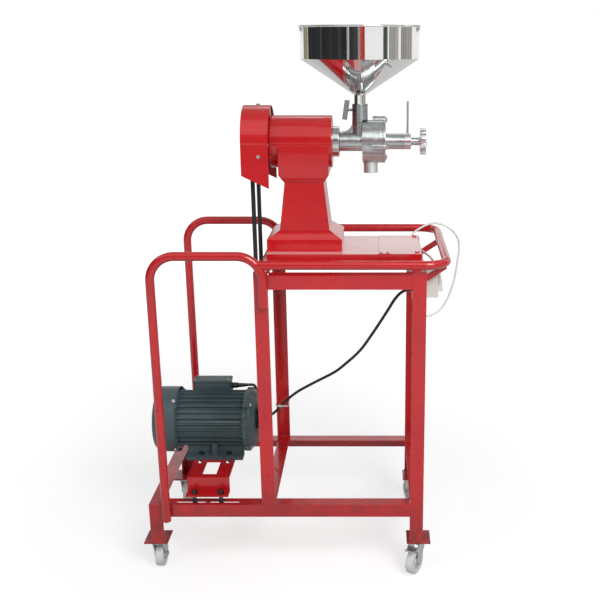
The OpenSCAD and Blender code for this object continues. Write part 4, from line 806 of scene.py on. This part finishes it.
collar = [(collar_in, switch_face - 1), (collar_out, switch_face - 1),
          (collar_out, switch_face + 1.4), (collar_tip, switch_face + 2),
          (collar_in, switch_face + 2)]
collars = bmesh.new()
for y in button_ys:
    way = Matrix.Translation((0, y * mm, button_z * mm)) @ Matrix.Rotation(math.radians(90), 4, "Y")
    lathe(collars, collar, way, 36)
sharpened(keep("button_collars", collars, [black_plastic], "frame"))
switch_screws = [((switch_face, y, z), (1, 0, 0)) for y in (-185.5, -124.5) for z in (869.5, 924.5)]
heads("switch_screws", switch_screws, 2.4 * mm, 1.4 * mm, 16, zinc)

# Power cord and motor lead: a white 7 mm cord whose spare length is coiled on the rear right leg,
# ending in a moulded plug, and a black 9 mm lead from the switch to the motor. Each leaves its
# gland through a tapered sleeve.
white_plastic = moulded("white_plastic", (0.80, 0.79, 0.74), (0.88, 0.87, 0.83), 0.42, 500.0,
                        0.00006)
cord_route = [
    (429.5, -150, 897), (429.5, -149.2, 910), (427.3, -142.5, 924), (422.5, -128, 936.5),
    (416, -104, 945), (410, -76, 949), (402, -38, 951), (393, 0, 950), (385, 40, 947.5),
    (382.2, 76, 946.5), (382.2, 108, 946.5), (380.8, 133, 947), (371, 154, 949.5),
    (362, 174, 953.5), (359, 193, 959.5), (367, 210, 968),
    (386, 222.5, 979), (408, 233.5, 988.5), (430, 243, 992.5), (452, 249, 990), (476, 249, 981),
    (499, 238, 965), (512, 212, 945), (511, 165, 921), (501, 108, 894), (487, 35, 861),
    (466, -44, 833), (447, -96, 817), (428, -131, 807), (405, -153, 801), (381, -157, 799.5),
    (362, -140, 800.5), (356.5, -108, 803), (358, -68, 805), (359.5, -20, 804), (360, 30, 799),
    (361, 78, 795), (361.8, 112, 799.5), (362.05, 141.41, 801.91)]
lead_route = [
    (-197, 40, 508), (-180, 41, 508), (-164, 46, 507), (-152, 56, 503), (-146, 70, 494),
    (-144.5, 86, 476), (-147.5, 106, 446), (-154, 131, 402.5), (-160.3, 152.5, 364.5),
    (-158.3, 164.4, 348.2), (-147.9, 177.6, 336.8), (-131.6, 189.1, 333.1), (-113.2, 196.2, 337.9),
    (-97, 197.2, 350), (-76, 196, 373), (-50, 190, 401), (-13, 162, 439), (40, 115, 486),
    (111, 48, 548), (150, 9, 592), (196, -38, 652), (233, -77, 717), (274, -123, 797),
    (300, -148, 848), (320, -158, 872), (342, -161.5, 881), (368, -162, 882)]


def curved(points, steps):
    """Points along the smooth curve through a route."""
    line = [Vector(p) for p in points]
    line = [2 * line[0] - line[1]] + line + [2 * line[-1] - line[-2]]
    out = []
    for a, b, c, d in zip(line, line[1:], line[2:], line[3:]):
        for i in range(steps):
            t = i / steps
            square, cube = 2 * a - 5 * b + 4 * c - d, 3 * b - a - 3 * c + d
            out.append(0.5 * (2 * b + (c - a) * t + square * t ** 2 + cube * t ** 3))
    return out + [line[-2]]


coil_middle, coil_radius, coil_pitch, coil_turns = (366, 148.41, 850), 48.0875, 7.9, 4.5


def coil_point(u):
    """A flat spiral in to the middle turn, a step aside, and a spiral out again."""
    half = coil_turns / 2
    radius = coil_radius - coil_pitch * (half - abs(u - half))
    share = min(1.0, max(0.0, (u - half + 0.25) / 0.5))
    aside = share * share * (3 - 2 * share) - 0.5
    turn = math.radians(360 * u - 90)
    x, y, z = coil_middle
    return Vector((x + aside * coil_pitch, y + radius * math.cos(turn),
                   z + radius * math.sin(turn)))


coil_steps = 24
coil_line = [coil_point(i / coil_steps) for i in range(int(coil_turns * coil_steps) + 1)]
coil_end = coil_line[-1]
plug_x, plug_y, plug_top = coil_end.x, 79.82, 850
tail_steps = [(0, -10, 0), (0, -26, -2), (0, -42, -10)]
tail_route = [coil_end] + [coil_end + Vector(step) for step in tail_steps] + [
    (plug_x, plug_y + 3, plug_top + 26), (plug_x, plug_y, plug_top + 8), (plug_x, plug_y, plug_top)]


def cord_piece(name, points, diameter, coat):
    """A cord as one open curve through its points, in mm."""
    line = bpy.data.curves.new(name, "CURVE")
    line.dimensions = "3D"
    line.bevel_depth = diameter / 2
    line.bevel_resolution = 4
    line.use_fill_caps = True
    run = line.splines.new("POLY")
    run.points.add(len(points) - 1)
    for knot, p in zip(run.points, points):
        knot.co = (*(p * mm), 1)
    line.materials.append(coat)
    piece = bpy.data.objects.new(name, line)
    scene.collection.objects.link(piece)
    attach(piece, "frame")
    length = sum((b - a).length for a, b in zip(points, points[1:])) * mm
    return piece, length


power_points = curved(cord_route, 5)[:-1] + coil_line + curved(tail_route, 5)[1:]
power_cord, power_length = cord_piece("white_power_cord", power_points, 7 * mm, white_plastic)
lead_points = curved(lead_route, 5)
motor_lead, lead_length = cord_piece("black_motor_lead", lead_points, 9 * mm, black_plastic)
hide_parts("power_cord", "cord_coil")
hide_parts("motor_lead")

nickel = metal("nickel_pins", (0.58, 0.56, 0.52), (0.70, 0.68, 0.64), 0.14, 0.24, (1, 1, 1), 300.0,
               0)
plug = bmesh.new()
plug_place = Matrix.Translation((plug_x * mm, plug_y * mm, 0))
ribs = [(6.0 if k % 2 else 5.0, 835 + 1.9 * k) for k in range(8)]
grip = [(0.1, 802), (12.6, 802), (14, 803.4), (14, 818), (13.4, 826), (10.5, 832.5), (6.4, 834.2)]
lathe(plug, grip + ribs + [(4.3, plug_top), (0.1, plug_top)], plug_place, 36)
pin, pin_side = [(0.1, 783), (1.4, 783), (2.4, 784.4), (2.4, 802.5), (0.1, 802.5)], 9.5
for side in (-pin_side, pin_side):
    lathe(plug, pin, Matrix.Translation((plug_x * mm, (plug_y + side) * mm, 0)), 20, 1)
plug = sharpened(keep("moulded_plug", plug, [white_plastic, nickel], "frame"), 50)
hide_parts("cord_plug")


def sleeve(name, points, length, cord_radius, thick, coat):
    """A tapered, ribbed sleeve along the start of a cord."""
    around, rib, clear = 20, 0.5, 0.25
    build = bmesh.new()
    run, walked = [points[0]], 0.0
    for p in points[1:]:
        walked += (p - run[-1]).length
        run.append(p)
        if walked >= length:
            break
    rings = []
    for i, p in enumerate(run):
        ahead = (run[min(i + 1, len(run) - 1)] - run[max(i - 1, 0)]).normalized()
        turn = ahead.to_track_quat("Z", "X").to_matrix()
        wide = cord_radius + thick * (1 - i / (len(run) - 1)) + (rib if i % 2 else 0.0) + clear
        rings.append([build.verts.new((p + turn @ Vector((wide * math.cos(a), wide * math.sin(a),
                                                          0))) * mm)
                      for a in (2 * math.pi * k / around for k in range(around))])
    for near, far in zip(rings, rings[1:]):
        for k in range(around):
            n = (k + 1) % around
            build.faces.new((near[k], near[n], far[n], far[k]))
    build.faces.new(rings[0])
    build.faces.new(rings[-1])
    return keep(name, build, [coat], "frame")


sleeve("power_cord_sleeve", power_points, 26, 3.5, 2.4, white_plastic)
sleeve("lead_motor_sleeve", lead_points, 30, 4.5, 2.6, black_plastic)
sleeve("lead_switch_sleeve", lead_points[::-1], 30, 4.5, 2.6, black_plastic)

# Cable ties: white nylon straps that hold the lead and the coiled cord to the rear legs.
# Each has a square head, and the lead's has a cut tail.
dress("cable_ties", white_plastic, 0.3 * mm)
lead_head = ((-84, 188.4, 370), (-77.5, 192.4, 377))
lead_tail = ((-80.6, 172, 372), (-79.2, 189, 376.4))
coil_head = ((352, 245.4, 847), (358, 249, 854))
ends = bmesh.new()
for low, high in (lead_head, lead_tail, coil_head):
    plate(ends, low, high)
rounded(keep("tie_heads", ends, [white_plastic], "frame", False), 0.5 * mm)
